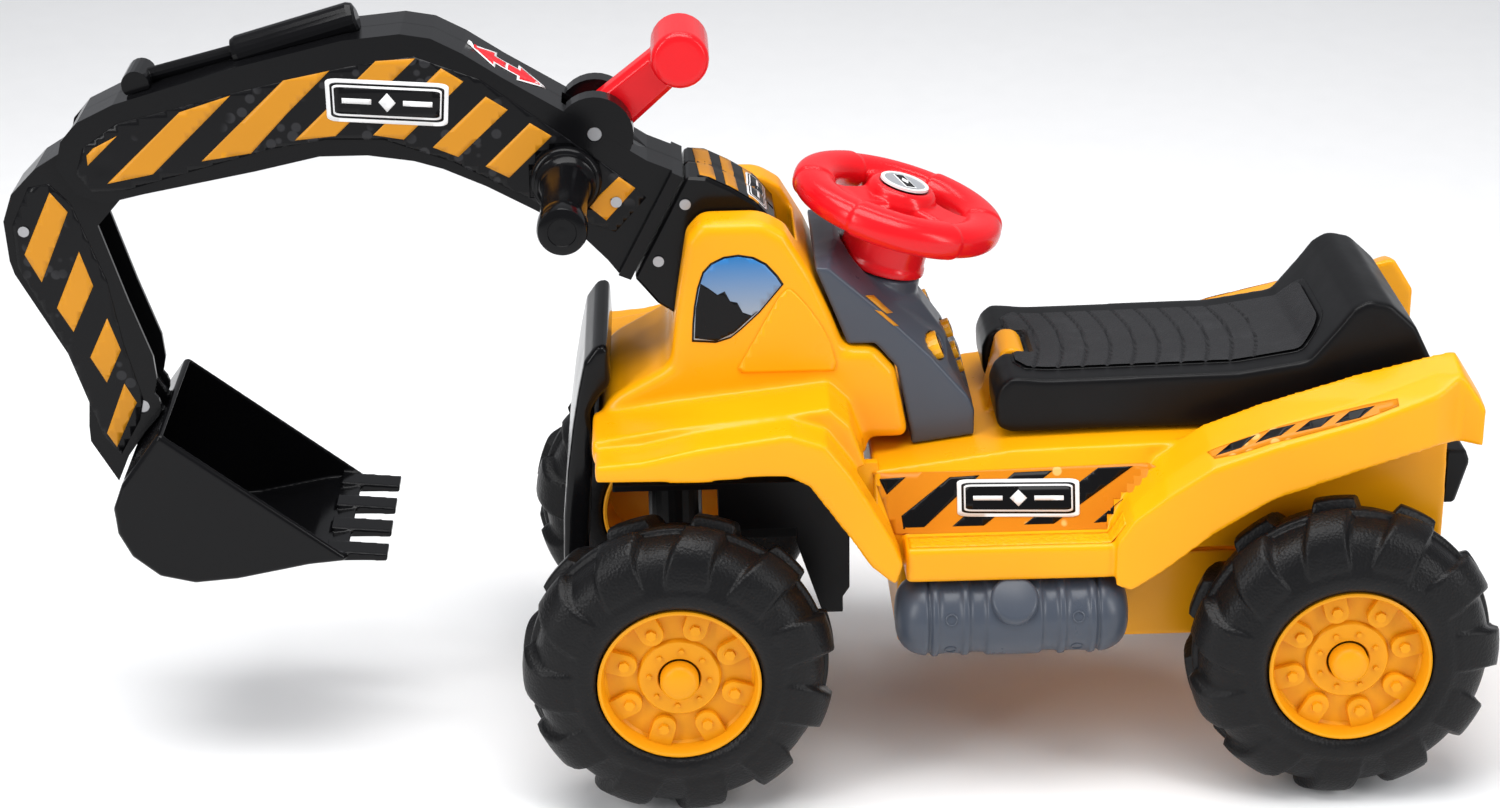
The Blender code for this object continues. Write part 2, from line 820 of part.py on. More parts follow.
def make_bumper():
    points = outline(
        front,
        (-35, 147), (-36, 171), (-43, 171), (-50, 161),
        (-54, 143), (-58, 121), (-62, 93), (-65, 64), (-66, 36),
        (-62, 24), (-54, 22), (-51, 40), (-48.5, 70), (-47, 96), (-47, 131), (-42, 139),
    )
    made = rounded(flat("front_bumper", points, -BUMPER_HALF, BUMPER_HALF), 3 * MM, 2)
    pocket = flat(
        "pocket",
        outline(
            front, (-40, 143), (-46, 150), (-51, 141), (-54, 121), (-58, 93), (-61, 64), (-62, 40), (-40, 40)
        ),
        -BUMPER_HALF + 4 * MM,
        BUMPER_HALF - 4 * MM,
    )
    return painted(cut(made, pocket), black)


CONSOLE_SECTIONS = (
    # half width share, then the nose's points from the deck up to its shoulder, in mm from the front axle
    (1.00, ((174, 124), (171, 131), (150, 156), (137, 169), (118, 188), (90, 213))),
    (0.68, ((174, 125), (170, 131), (160, 148), (150, 164), (128, 186), (92, 216))),
    (0.28, ((174, 125), (170, 129), (166, 141), (160, 158), (146, 178), (96, 218))),
)


def console_section(y, nose):
    base = (
        (82, 214), (92.8, 187), (100.8, 166.6), (116.6, 166.6),
        (129, 151.5), (137.6, 109.5), (137.6, 103.2), (174, 108.4)
    )
    return [at(front(x, z), y) for x, z in nose + base]


def make_console():
    left = [console_section(-share * CONSOLE_HALF, nose) for share, nose in CONSOLE_SECTIONS]
    right = [console_section(share * CONSOLE_HALF, nose) for share, nose in reversed(CONSOLE_SECTIONS)]
    made = loft("console", left + right)
    boss = rod("column_boss", on_column(-100 * MM), on_column(-38.2 * MM), 34 * MM, 28, 25 * MM)
    behind_cab = outline(
        front, (60, 60), (60, 240), (83, 214), (93.2, 186.5), (101, 166.8),
        (117, 166.8), (129.4, 151.7), (138, 110), (138, 60)
    )
    join(made, cut(boss, flat("boss_trim", behind_cab, -CAB_HALF, CAB_HALF)))
    hollow = flat(
        "console_hollow",
        outline(front, (142, 96), (141, 112), (134, 148), (134, 160), (146, 150), (167, 126), (170, 96)),
        -CONSOLE_HALF + 4 * MM,
        CONSOLE_HALF - 4 * MM,
    )
    collar_room = rod("collar_room", on_column(-37.8 * MM), on_column(40 * MM), 27.5 * MM, 28)
    cut(made, hollow, collar_room, column_bore(COLUMN_R + RUN, 30 * MM))
    return made


FACE_TILT = math.atan2(54, 20)  # the console's button face, down from level
BUTTON_TRAVEL = 2 * MM


def face_point(x, z, y, out=0.0):
    normal = Vector((math.sin(FACE_TILT), 0, math.cos(FACE_TILT)))
    return Vector(at(front(x, z), y * MM)) + normal * out


BUTTONS = (
    # name, x and z in mm from the front axle, y in mm, half width, half height
    ("button_left", 151.5, 158, -34, 10, 8),
    ("button_right", 151.5, 158, 34, 10, 8),
    ("button_upper", 161, 155, 0, 7, 5.5),
    ("button_middle", 165, 141, 0, 7, 5),
    ("button_small", 168.5, 130.5, 0, 4.5, 3.5),
)


def make_button(name, x, z, y, wide, high, console):
    """A button in a well of the console that it slides in."""
    top, bottom = 3.5 * MM, -9 * MM

    def prism(label, grow, low, high_end):
        a, b = face_point(x, z, y, low), face_point(x, z, y, high_end)
        shape = rod(label, a, b, 1.0, 18)
        turn = (b - a).to_track_quat("Z", "Y").to_matrix().to_4x4()
        size = Matrix.Diagonal((wide * MM + grow, high * MM + grow, 1, 1))
        shape.data.transform(turn.inverted())
        shape.data.transform(size)
        shape.data.transform(turn)
        return shape

    cut(console, prism("well", 0.5 * MM, -40 * MM, 20 * MM))
    return painted(prism(name, 0.0, bottom, top), yellow)


def make_seat():
    top = outline(
        front,
        (187, 116), (185.5, 122), (185, 134), (188, 142), (194, 147), (216, 145), (325, 147),
    ) + outline(
        rear,
        (-16, 153), (0, 173), (8, 184), (17, 189), (30, 186), (45, 172), (60, 142), (67, 115),
    )
    low = outline(rear, (65, 115.5)) + outline(front, (194, 113))
    seat = flat("seat", top + low, -SEAT_HALF, SEAT_HALF)
    rounded(seat, 6 * MM, 2)
    hollow = outline(front, (212, 108), (212, 138), (325, 141)) + outline(
        rear, (-10, 150), (4, 170), (14, 182), (27, 180), (40, 167), (54, 140), (61, 108)
    )
    cut(seat, flat("seat_hollow", hollow, -SEAT_HALF + 4 * MM, SEAT_HALF - 4 * MM))
    x, z = SEAT_PIVOT
    notch = box(
        "notch",
        (x - 40 * MM, -KNUCKLE_HALF - MM, z - 40 * MM),
        (x + KNUCKLE_R + 3 * MM, KNUCKLE_HALF + MM, z + 40 * MM),
    )
    bore = rod("pin_bore", at((x, z), -36 * MM), at((x, z), 36 * MM), SMALL_PIN_R + 0.15 * MM, 16)
    return painted(cut(seat, notch, bore), seat_black)


def make_tank(tag, side):
    """The ribbed tank under a sill, with a round boss that looks out and up."""
    x0 = front(124.5, 0)[0]
    x1 = x0 + TANK_LENGTH
    y = side * (SILL_HALF - 14 * MM)
    z = AXLE_Z + 45 * MM - GAP - TANK_R
    made = rod("side_tank_" + tag, (x0, y, z), (x1, y, z), TANK_R, 28)
    rounded(made, 9 * MM, 3, 50)
    tilt = math.radians(43)
    out = Vector((0, side * math.cos(tilt), math.sin(tilt)))
    centre = Vector(((x0 + x1) / 2, y, z))
    join(made, rod("boss", centre, centre + out * (TANK_R + 2 * MM), 13 * MM, 20))
    wall = LOWER_HALF + GAP
    low, high = sorted((side * wall, 0.0))
    cut(made, box("hull_side", (x0 - 9 * MM, low, 0), (x1 + 9 * MM, high, z + 90 * MM)))
    cut(
        made,
        box(
            "sill_side", (x0 - 9 * MM, y - 60 * MM, AXLE_Z + 45 * MM - GAP),
            (x1 + 9 * MM, y + 60 * MM, AXLE_Z + 90 * MM)
        )
    )
    hollow = rod("tank_hollow", (x0 + 5 * MM, y, z), (x1 - 5 * MM, y, z), TANK_R - WALL, 20)
    mouth = box(
        "tank_mouth",
        (x0 + 20 * MM, min(side * wall * 0.5, y), z - 14 * MM),
        (x1 - 20 * MM, max(side * wall * 0.5, y), z + 14 * MM),
    )
    cut(made, hollow, mouth)
    return painted(made, grey)


def make_sound_module():
    """The battery and sound box under the console, which the buttons press towards."""
    floor = AXLE_Z + 76 * MM
    made = box(
        "sound_module",
        (front(144, 0)[0], -SOUND_HALF, floor),
        (front(144, 0)[0] + 30 * MM, SOUND_HALF, floor + 22 * MM),
    )
    return painted(made, black)


def make_tail_plate():
    points = outline(rear, (64.6, 66), (72, 66), (79, 92), (76, 100), (64.6, 100))
    return painted(rounded(flat("tail_plate", points, -70 * MM, 70 * MM), 1.5 * MM), black)


# ---------------------------------------------------------------- digging arm


LEVER_PIVOT = front(-40, 287)
STICK_PIVOT = front(-317, 275)
BUCKET_PIVOT = front(-309, 126)


def crank_end(centre):
    return (centre[0], centre[1] - CRANK)


def boom_outline():
    return outline(
        front,
        (-339, 290), (-329, 301), (-308, 311), (-238, 331),
        (-178, 345), (-146, 348), (-129, 345), (-112, 336),
        (-91, 322), (-55, 300), (-11, 271), (3, 265), (-29, 204),
        (-35, 212), (-50, 228), (-75, 243), (-102, 258),
        (-126, 269), (-142, 274), (-168, 278), (-195, 278),
        (-232, 270), (-296, 258), (-318, 253), (-333, 259),
        (-343, 275),
    )


def stick_swing():
    """The room the stick needs between the boom's cheeks."""
    x, z = STICK_PIVOT
    corners = ((0, 0), (-38, 50), (-62, 30), (-60, -70), (26, -70), (23, -18))
    return [(x + a * MM, z + b * MM) for a, b in corners]


def flange_outline():
    return outline(front, (3, 265), (9, 262), (-22, 201), (-29, 204))


def make_boom_half(tag, side):
    """One moulded half of the boom; the halves meet on the mirror plane."""
    seam = side * 0.2 * MM
    wide = side * BOOM_HALF
    half = flat("boom_" + tag, boom_outline(), *sorted((seam, wide)))
    flange = flat("flange", flange_outline(), *sorted((seam, side * (BLOCK_HALF + 0.5 * MM))))
    x, z = LEVER_PIVOT
    cheek = rod("cheek", (x, side * (LEVER_HALF + 2.2 * MM), z), (x, wide - side * 0.1 * MM, z), 22 * MM, 32)
    join(half, flange, cheek)
    hollow = flat("hollow", inset(boom_outline(), WALL), *sorted((-side * MM, side * (BOOM_HALF - WALL))))
    cut(half, hollow)
    swing = side * (STICK_HALF + 1.8 * MM)
    cut(half, flat("swing", stick_swing(), *sorted((-side * MM, swing))))
    room = swing - side * 0.2 * MM
    cut(half, rod("stick_room", at(STICK_PIVOT, -side * MM), at(STICK_PIVOT, room), 24.5 * MM, 28))
    cut(
        half,
        rod(
            "lever_room", at(LEVER_PIVOT, -side * 2 * MM),
            at(LEVER_PIVOT, side * (LEVER_HALF + MM)), 24 * MM, 28
        )
    )
    for centre, radius in ((STICK_PIVOT, PIN_R), (LEVER_PIVOT, PIN_R)):
        cut(
            half,
            rod("bore", at(centre, -side * MM), at(centre, side * (BOOM_HALF + 9 * MM)), radius + RUN / 2, 20)
        )
    collar_y = side * (BOOM_HALF + 6 * MM)
    spot = front(-57, 261)
    collar = rod("collar", at(spot, side * (BOOM_HALF - 2 * MM)), at(spot, collar_y), 19 * MM, 24)
    grip = rod("grip", at(spot, collar_y - side * MM), at(spot, side * HANDLE_END), HANDLE_R, 24)
    join(half, collar, rounded(grip, 2 * MM, 2, 50))
    return half


def make_link():
    """The arched rod inside the boom that joins the lever's crank to the stick's."""
    start, end = crank_end(LEVER_PIVOT), crank_end(STICK_PIVOT)
    crown = front(-182, 310)
    rise = crown[1] - (start[1] + end[1]) / 2
    steps = 10
    points = []
    for i in range(steps + 1):
        share = i / steps
        x = start[0] + (end[0] - start[0]) * share
        straight = start[1] + (end[1] - start[1]) * share
        points.append((x, 0, straight + rise * (1 - (2 * share - 1) ** 2)))
    made = tube("link_rod", points, LINK_R)
    half = LINK_R + 0.8 * MM
    for spot in (start, end):
        join(made, rod("eye", at(spot, -half), at(spot, half), 6 * MM, 20))
    for spot, play in ((start, RUN / 2), (end, 0.8 * MM)):
        cut(made, rod("eye_bore", at(spot, -9 * MM), at(spot, 9 * MM), SMALL_PIN_R + play, 16))
    return painted(made, steel)


def make_lever():
    x, z = LEVER_PIVOT
    hub = rod("control_lever", (x, -LEVER_HALF, z), (x, LEVER_HALF, z), 15 * MM, 28)
    arm = flat(
        "arm", outline(front, (-47, 298), (4, 338), (16, 318), (-26, 280), (-36, 278)), -8 * MM, 8 * MM
    )
    grip_at = front(9, 328)
    grip = rod("grip", at(grip_at, -23 * MM), at(grip_at, 23 * MM), 16.5 * MM, 24)
    tail_half = 8 * MM
    tail = flat(
        "tail",
        [
            (x - 6 * MM, z), (x + 6 * MM, z), (x + 5.5 * MM, z - CRANK - 5 * MM),
            (x - 5.5 * MM, z - CRANK - 5 * MM)
        ],
        -tail_half,
        tail_half,
    )
    join(hub, rounded(arm, 3 * MM), rounded(grip, 4 * MM, 3, 50), tail)
    corners = ((12, -28), (12, -8), (-1, -8), (-5, -3.5), (-10, 2.2), (-16, 9), (-30, 24), (-30, -28))
    slot = flat("slot", [(x + a * MM, z + b * MM) for a, b in corners], -LINK_ROOM, LINK_ROOM)
    crank = at(crank_end(LEVER_PIVOT), -20 * MM), at(crank_end(LEVER_PIVOT), 20 * MM)
    cut(hub, slot, rod("crank_bore", *crank, SMALL_PIN_R + 0.15 * MM, 16))
    cut(hub, rod("bore", (x, -20 * MM, z), (x, 20 * MM, z), PIN_R + 0.15 * MM, 20))
    return painted(hub, red)


STICK_END_R = 11 * MM


def stick_outline():
    bx, bz = BUCKET_PIVOT
    tip = outline(
        front, (-308, 110.9), (-319.6, 95.2), (-327, 79), (-341, 105),
        (-341, 115), (-338, 144), (-346, 157), (-348, 159)
    )
    rise = outline(front, (-374, 210), (-376, 218), (-377, 242), (-371, 258), (-356, 273))
    top = arc(STICK_PIVOT, 21 * MM, 150, -20, 9)
    inner = outline(front, (-313, 250), (-324, 238), (-311, 192), (-300, 157), (-299, 143))
    end = arc((bx, bz), STICK_END_R, 45, -35, 5)
    return tip + rise + top + inner + end


def make_stick():
    """A channel open at the back, with ribs, that carries the bucket between its walls."""
    points = stick_outline()
    made = flat("stick", points, -STICK_HALF, STICK_HALF)
    room = STICK_HALF - WALL
    hollow = outline(
        front,
        (-336, 110), (-335, 147), (-343, 160), (-369, 212),
        (-372, 220), (-373, 240), (-367, 255), (-352, 268),
        (-330, 278), (-290, 278), (-280, 240), (-280, 60), (-318, 60),
    )
    cut(made, flat("hollow", hollow, -room, room))
    corners = ((7, 2), (10, 5), (18, 16), (24, 24), (32, 24), (32, 2))
    x, z = STICK_PIVOT
    cut(made, flat("link_slot", [(x + a * MM, z + b * MM) for a, b in corners], -LINK_ROOM, LINK_ROOM))
    for x, z in ((-356, 250), (-350, 215), (-336, 185)):
        a = front(x, z)
        rib = box("rib", (a[0] - 14 * MM, -room - MM, a[1] - MM), (a[0] + 14 * MM, room + MM, a[1] + MM))
        join(made, rib)
    cut(made, rod("bore", at(STICK_PIVOT, -30 * MM), at(STICK_PIVOT, 30 * MM), PIN_R + 0.15 * MM, 20))
    cut(made, rod("bore", at(BUCKET_PIVOT, -30 * MM), at(BUCKET_PIVOT, 30 * MM), PIN_R + 0.15 * MM, 20))
    crank = crank_end(STICK_PIVOT)
    cut(made, rod("bore", at(crank, -30 * MM), at(crank, 30 * MM), SMALL_PIN_R + 0.15 * MM, 16))
    return painted(made, black)


def bucket_outline():
    return outline(
        front,
        (-294, 126), (-306, 110), (-318, 94), (-324, 79), (-323, 63), (-316, 48), (-301, 35), (-281, 30),
        (-256, 32), (-214, 40), (-192, 42), (-192, 45),
    )


def make_bucket():
    points = bucket_outline()
    made = flat("bucket", points, -BUCKET_HALF, BUCKET_HALF)
    rounded(made, 2 * MM, 1, 60)
    hollow = outline(
        front,
        (-290, 126), (-303, 108), (-315, 92), (-320.5, 79),
        (-319.5, 64), (-313.5, 50.5), (-300, 38.3), (-281, 33.4),
        (-256, 35.4), (-214, 43.2), (-180, 46), (-170, 130),
    )
    inside = BUCKET_HALF - WALL
    cut(made, flat("hollow", hollow, -inside, inside))
    for y in (-48, -16, 16, 48):
        tooth = flat(
            "tooth",
            outline(front, (-204, 41), (-169, 40), (-168.5, 44), (-204, 47.5)),
            (y - 8) * MM,
            (y + 8) * MM,
        )
        join(made, tooth)
    bx, bz = BUCKET_PIVOT
    for side in (-1, 1):
        low, high = sorted((side * 8 * MM, side * (STICK_HALF - WALL - MM)))
        lug = flat(
            "lug",
            arc((bx, bz), 9.5 * MM, 60, 210, 8) + outline(front, (-315, 97.5), (-303.5, 111), (-297, 120)),
            low,
            high,
        )
        join(made, lug)
    cut(made, rod("bore", at(BUCKET_PIVOT, -30 * MM), at(BUCKET_PIVOT, 30 * MM), PIN_R + RUN / 2, 20))
    return painted(made, black)


def turret_outline():
    return outline(
        front,
        (11, 262), (22, 261), (36, 254), (50, 245), (61, 232),
        (64, 216), (59, 199), (48, 188), (32, 181), (14, 178),
        (2, 180), (-7, 186), (-15, 196), (-20, 202),
    )


def make_turret_half(tag, side):
    seam = side * 0.2 * MM
    half = flat("turret_" + tag, turret_outline(), *sorted((seam, side * BLOCK_HALF)))
    rounded(half, 1.5 * MM, 1, 60)
    hollow = flat(
        "hollow", inset(turret_outline(), 4 * MM), *sorted((-side * MM, side * (BLOCK_HALF - 4 * MM)))
    )
    boss = rod("boss", at(BOOM_PIVOT, seam), at(BOOM_PIVOT, side * (BLOCK_HALF - MM)), 12 * MM, 24)
    bore = rod("bore", at(BOOM_PIVOT, -side * MM), at(BOOM_PIVOT, side * 50 * MM), TURRET_PIN_R + RUN / 2, 20)
    cut(half, hollow)
    join(half, boss)
    return painted(cut(half, bore), black)


def make_boom_cylinder():
    """The moulded ram on top of the boom: a barrel with a domed end and its rod."""
    start, end = front(-242, 331), front(-171, 351)
    tip = front(-296, 319)
    bed = flat("bed", grown(boom_outline(), GAP), -BOOM_HALF * 2, BOOM_HALF * 2)
    barrel = rod("ram_barrel", at(start), at(end), 10.5 * MM, 24)
    rounded(barrel, 4 * MM, 2, 50)
    cut(barrel, bed)
    ram = rod("ram_rod", at(tip), at(front(-242.6, 332.5)), 4.6 * MM, 16)
    eye = rod("eye", at(tip, -14 * MM), at(tip, 14 * MM), 8 * MM, 20)
    join(ram, eye)
    cut(ram, flat("bed", grown(boom_outline(), GAP), -BOOM_HALF * 2, BOOM_HALF * 2))
    return painted(barrel, black), painted(ram, black)


def grown(points, distance):
    return inset(points, -distance)


def pin_across(name, centre, half, radius, sides=20):
    return painted(rod(name, at(centre, -half), at(centre, half), radius, sides), steel)


def make_screw(name, x, z, y, depth):
    """A round-headed screw set in from the left side."""
    spot = front(x, z)
    head = rod(name, at(spot, y - 1.2 * MM), at(spot, y - 0.35 * MM), 3.2 * MM, 16, 3.2 * MM)
    shank = rod("shank", at(spot, y - 0.5 * MM), at(spot, y + depth), 1.6 * MM, 12)
    return painted(join(head, shank), steel)


def screw_hole(x, z, y, depth):
    spot = front(x, z)
    return rod("screw_hole", at(spot, y - 3 * MM), at(spot, y + depth + MM), 1.9 * MM, 12)


# ---------------------------------------------------------------- assembly


front_cowl = make_front_cowl()
rear_body = make_rear_body()
bumper = make_bumper()
front_frame = make_front_frame()
console = make_console()
buttons = [make_button(*row, console) for row in BUTTONS]
painted(console, grey)
tanks = [make_tank("left", -1), make_tank("right", 1)]
tail_plate = make_tail_plate()
sound_module = make_sound_module()

steering_wheel = make_steering_wheel()
steering_rod, crank_tip = make_steering_rod()
badge = painted(rod("steering_badge", on_column(12.4 * MM), on_column(14 * MM), 14 * MM, 24), black)
carrier = make_axle_carrier(crank_tip)
kingpin = make_kingpin()

steering_pivot = pivot("steering_axis", on_column(0))
carry(steering_pivot, steering_wheel, steering_rod, badge)

front_axle = make_axle("front_axle", FRONT_AXLE_X)
rear_axle = make_axle("rear_axle", REAR_AXLE_X)
nuts = [
    make_push_nut(end + "_" + tag, x, side)
    for end, x in (("front", FRONT_AXLE_X), ("rear", REAR_AXLE_X))
    for tag, side in (("left", -1), ("right", 1))
]
carrier_pivot = pivot("kingpin_axis", (FRONT_AXLE_X, 0, AXLE_Z))
carry(carrier_pivot, carrier, front_axle, nuts[0], nuts[1])
for tag, side in (("left", -1), ("right", 1)):
    make_wheel("front_" + tag, FRONT_AXLE_X, side, carrier_pivot)
    make_wheel("rear_" + tag, REAR_AXLE_X, side, None)

seat = make_seat()
seat_pin = pin_across("seat_pin", SEAT_PIVOT, 34 * MM, SMALL_PIN_R, 16)
seat_pivot = pivot("seat_axis", at(SEAT_PIVOT))
carry(seat_pivot, seat, seat_pin)

boom_left = make_boom_half("left", -1)
boom_right = make_boom_half("right", 1)
turret_left = make_turret_half("left", -1)
turret_right = make_turret_half("right", 1)
turret_pin = pin_across("turret_pin", BOOM_PIVOT, CAB_HALF - 6 * MM, TURRET_PIN_R)
barrel, ram = make_boom_cylinder()
screws = []
for label, x, z, y in (
    ("boom_screw", -29, 247, -BOOM_HALF),
    ("turret_screw_upper", 10, 246, -BLOCK_HALF),
    ("turret_screw_lower", -6, 212, -BLOCK_HALF),
):
    holder = boom_left if label.startswith("boom") else turret_left
    cut(holder, screw_hole(x, z, y, 8 * MM))
    screws.append(make_screw(label, x, z, y, 8 * MM))
painted(boom_left, black)
painted(boom_right, black)
boom_pivot = pivot("boom_axis", at(BOOM_PIVOT))
carry(boom_pivot, boom_left, boom_right, turret_left, turret_right, barrel, ram, *screws)

lever = make_lever()
lever_pin = pin_across("lever_pin", LEVER_PIVOT, BOOM_HALF - MM, PIN_R)
lever_crank_pin = pin_across("lever_crank_pin", crank_end(LEVER_PIVOT), 8 * MM, SMALL_PIN_R, 16)
lever_pivot = pivot("lever_axis", at(LEVER_PIVOT), boom_pivot)
carry(lever_pivot, lever, lever_pin, lever_crank_pin)

link_rod = make_link()
link_pivot = pivot("link_axis", at(crank_end(LEVER_PIVOT)), lever_pivot)
carry(link_pivot, link_rod)

stick = make_stick()
cut(stick, screw_hole(-366, 236, -STICK_HALF, 8 * MM))
stick_screw = make_screw("stick_screw", -366, 236, -STICK_HALF, 8 * MM)
stick_pin = pin_across("stick_pin", STICK_PIVOT, BOOM_HALF - MM, PIN_R)
stick_crank_pin = pin_across("stick_crank_pin", crank_end(STICK_PIVOT), STICK_HALF - MM, SMALL_PIN_R, 16)
stick_pivot = pivot("stick_axis", at(STICK_PIVOT), boom_pivot)
carry(stick_pivot, stick, stick_pin, stick_crank_pin, stick_screw)

bucket = make_bucket()
bucket_pin = pin_across("bucket_pin", BUCKET_PIVOT, STICK_HALF - MM, PIN_R)
bucket_pivot = pivot("bucket_axis", at(BUCKET_PIVOT), stick_pivot)
carry(bucket_pivot, bucket, bucket_pin)
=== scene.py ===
"""Looks for the ride-on digger: moulded shells, tyres, hubs, seat, stickers, and a studio round it.

Lengths are in millimetres, and objects get theirs in metres. -X is the front, +Z is up, Y = 0 is the
mirror plane, and -Y is the rider's left.
"""

import math

import bmesh
import bpy
from mathutils import Matrix, Vector
from mathutils.bvhtree import BVHTree


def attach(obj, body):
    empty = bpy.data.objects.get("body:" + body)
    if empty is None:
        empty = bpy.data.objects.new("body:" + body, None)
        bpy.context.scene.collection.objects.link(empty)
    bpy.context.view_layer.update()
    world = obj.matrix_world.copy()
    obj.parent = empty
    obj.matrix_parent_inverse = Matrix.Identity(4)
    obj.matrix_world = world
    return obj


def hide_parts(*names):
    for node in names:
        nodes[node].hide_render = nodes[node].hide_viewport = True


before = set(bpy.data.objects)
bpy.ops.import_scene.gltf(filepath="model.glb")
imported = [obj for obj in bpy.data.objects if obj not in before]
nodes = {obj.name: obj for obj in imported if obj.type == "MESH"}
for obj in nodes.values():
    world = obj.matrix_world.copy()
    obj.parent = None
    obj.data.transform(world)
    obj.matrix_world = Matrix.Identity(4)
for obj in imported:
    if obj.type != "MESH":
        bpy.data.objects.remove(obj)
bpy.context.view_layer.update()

MM = 0.001
AXLE_Z = 89.4
FRONT_X = -46.2
REAR_X = 333.8
WHEEL_Y = 115.5
TYRE_R = 89.4
RAKE = math.radians(16.5)
SIDES = (("left", -1), ("right", 1))


# ---------------------------------------------------------------- helpers


def front(x, z):
    """A point in the side view, from the front axle."""
    return (FRONT_X + x, AXLE_Z + z)


def arc(centre, radius, start, end, count):
    angles = [math.radians(start + (end - start) * i / (count - 1)) for i in range(count)]
    return [(centre[0] + radius * math.cos(a), centre[1] + radius * math.sin(a)) for a in angles]


def mix(a, b, t):
    return a + (b - a) * t


def ease(t):
    t = min(1.0, max(0.0, t))
    return t * t * (3 - 2 * t)


def smooth_line(points, rounds=2, closed=False):
    """Corner cutting, which turns a coarse line into a fair one."""
    for _ in range(rounds):
        cut = [] if closed else [points[0]]
        pairs = zip(points, points[1:] + points[:1]) if closed else zip(points, points[1:])
        for a, b in pairs:
            cut.append(tuple(mix(p, q, 0.25) for p, q in zip(a, b)))
            cut.append(tuple(mix(p, q, 0.75) for p, q in zip(a, b)))
        if not closed:
            cut.append(points[-1])
        points = cut
    return points


def new_object(name, bm, look=None, body=None, smooth=35):
    bmesh.ops.recalc_face_normals(bm, faces=bm.faces)
    mesh = bpy.data.meshes.new(name)
    bm.to_mesh(mesh)
    bm.free()
    mesh.transform(Matrix.Scale(MM, 4))
    made = bpy.data.objects.new(name, mesh)
    bpy.context.scene.collection.objects.link(made)
    mesh.shade_smooth()
    if smooth:
        mesh.set_sharp_from_angle(angle=math.radians(smooth))
    if look:
        mesh.materials.append(look.material)
    if body:
        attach(made, body)
    return made


def prism(points, y0, y1, edge=0.0, segments=2):
    """A side-view outline made y0 to y1 thick, its rims rounded."""
    bm = bmesh.new()
    low = [bm.verts.new((x, y0, z)) for x, z in points]
    high = [bm.verts.new((x, y1, z)) for x, z in points]
    count = len(points)
    bm.faces.new(low)
    bm.faces.new(high)
    for i in range(count):
        j = (i + 1) % count
        bm.faces.new((low[i], low[j], high[j], high[i]))
    bmesh.ops.recalc_face_normals(bm, faces=bm.faces)
    if edge:
        rims = [e for e in bm.edges if abs(e.verts[0].co.y - e.verts[1].co.y) < 1e-6]
        bmesh.ops.bevel(bm, geom=rims, offset=edge, segments=segments, profile=0.5, affect="EDGES")
    return bm


def lofted(sections, closed=True):
    """A skin through sections with the same number of points."""
    bm = bmesh.new()
    rings = [[bm.verts.new(point) for point in section] for section in sections]
    count = len(rings[0])
    for ring, following in zip(rings, rings[1:]):
        for i in range(count if closed else count - 1):
            j = (i + 1) % count
            bm.faces.new((ring[i], ring[j], following[j], following[i]))
    if closed:
        bm.faces.new(rings[0])
        bm.faces.new(rings[-1])
    bmesh.ops.recalc_face_normals(bm, faces=bm.faces)
    return bm


def turned(profile, steps=48):
    """A (radius, height) profile turned about Z, closed on the axis where its ends are."""
    bm = bmesh.new()
    rings = []
    for r, h in profile:
        if r < 1e-6:
            rings.append([bm.verts.new((0, 0, h))])
        else:
            turn = [2 * math.pi * i / steps for i in range(steps)]
            rings.append([bm.verts.new((r * math.cos(a), r * math.sin(a), h)) for a in turn])
    for a, b in zip(rings, rings[1:]):
        for i in range(steps):
            j = (i + 1) % steps
            if len(a) == 1:
                bm.faces.new((a[0], b[i], b[j]))
            elif len(b) == 1:
                bm.faces.new((a[i], a[j], b[0]))
            else:
                bm.faces.new((a[i], a[j], b[j], b[i]))
    bmesh.ops.recalc_face_normals(bm, faces=bm.faces)
    return bm


def moved(bm, matrix):
    bmesh.ops.transform(bm, matrix=matrix, verts=bm.verts)
    return bm


def aimed(where, direction):
    """Turns +Z to a direction and moves the origin to a point."""
    return Matrix.Translation(where) @ Vector(direction).to_track_quat("Z", "Y").to_matrix().to_4x4()


def merged(*shapes):
    """Several bmeshes as one."""
    whole = bmesh.new()
    for bm in shapes:
        spare = bpy.data.meshes.new("spare")
        bm.to_mesh(spare)
        bm.free()
        whole.from_mesh(spare)
        bpy.data.meshes.remove(spare)
    return whole


def soften(made, voxel, rounds, factor=0.5):
    """Rounds every edge the way a blown or thick moulding has them."""
    weld = made.modifiers.new("weld", "WELD")
    weld.merge_threshold = 1e-5
    grid = made.modifiers.new("grid", "REMESH")
    grid.mode = "VOXEL"
    grid.voxel_size = voxel * MM
    grid.use_smooth_shade = True
    calm = made.modifiers.new("calm", "SMOOTH")
    calm.factor = factor
    calm.iterations = rounds
    return made


def crisp(made, width=0.8, angle=30):
    """Small rounded edges on a node that keeps its flat faces."""
    weld = made.modifiers.new("weld", "WELD")
    weld.merge_threshold = 1e-5
    edge = made.modifiers.new("edge", "BEVEL")
    edge.width = width * MM
    edge.segments = 2
    edge.limit_method = "ANGLE"
    edge.angle_limit = math.radians(angle)
    return made


# ---------------------------------------------------------------- materials


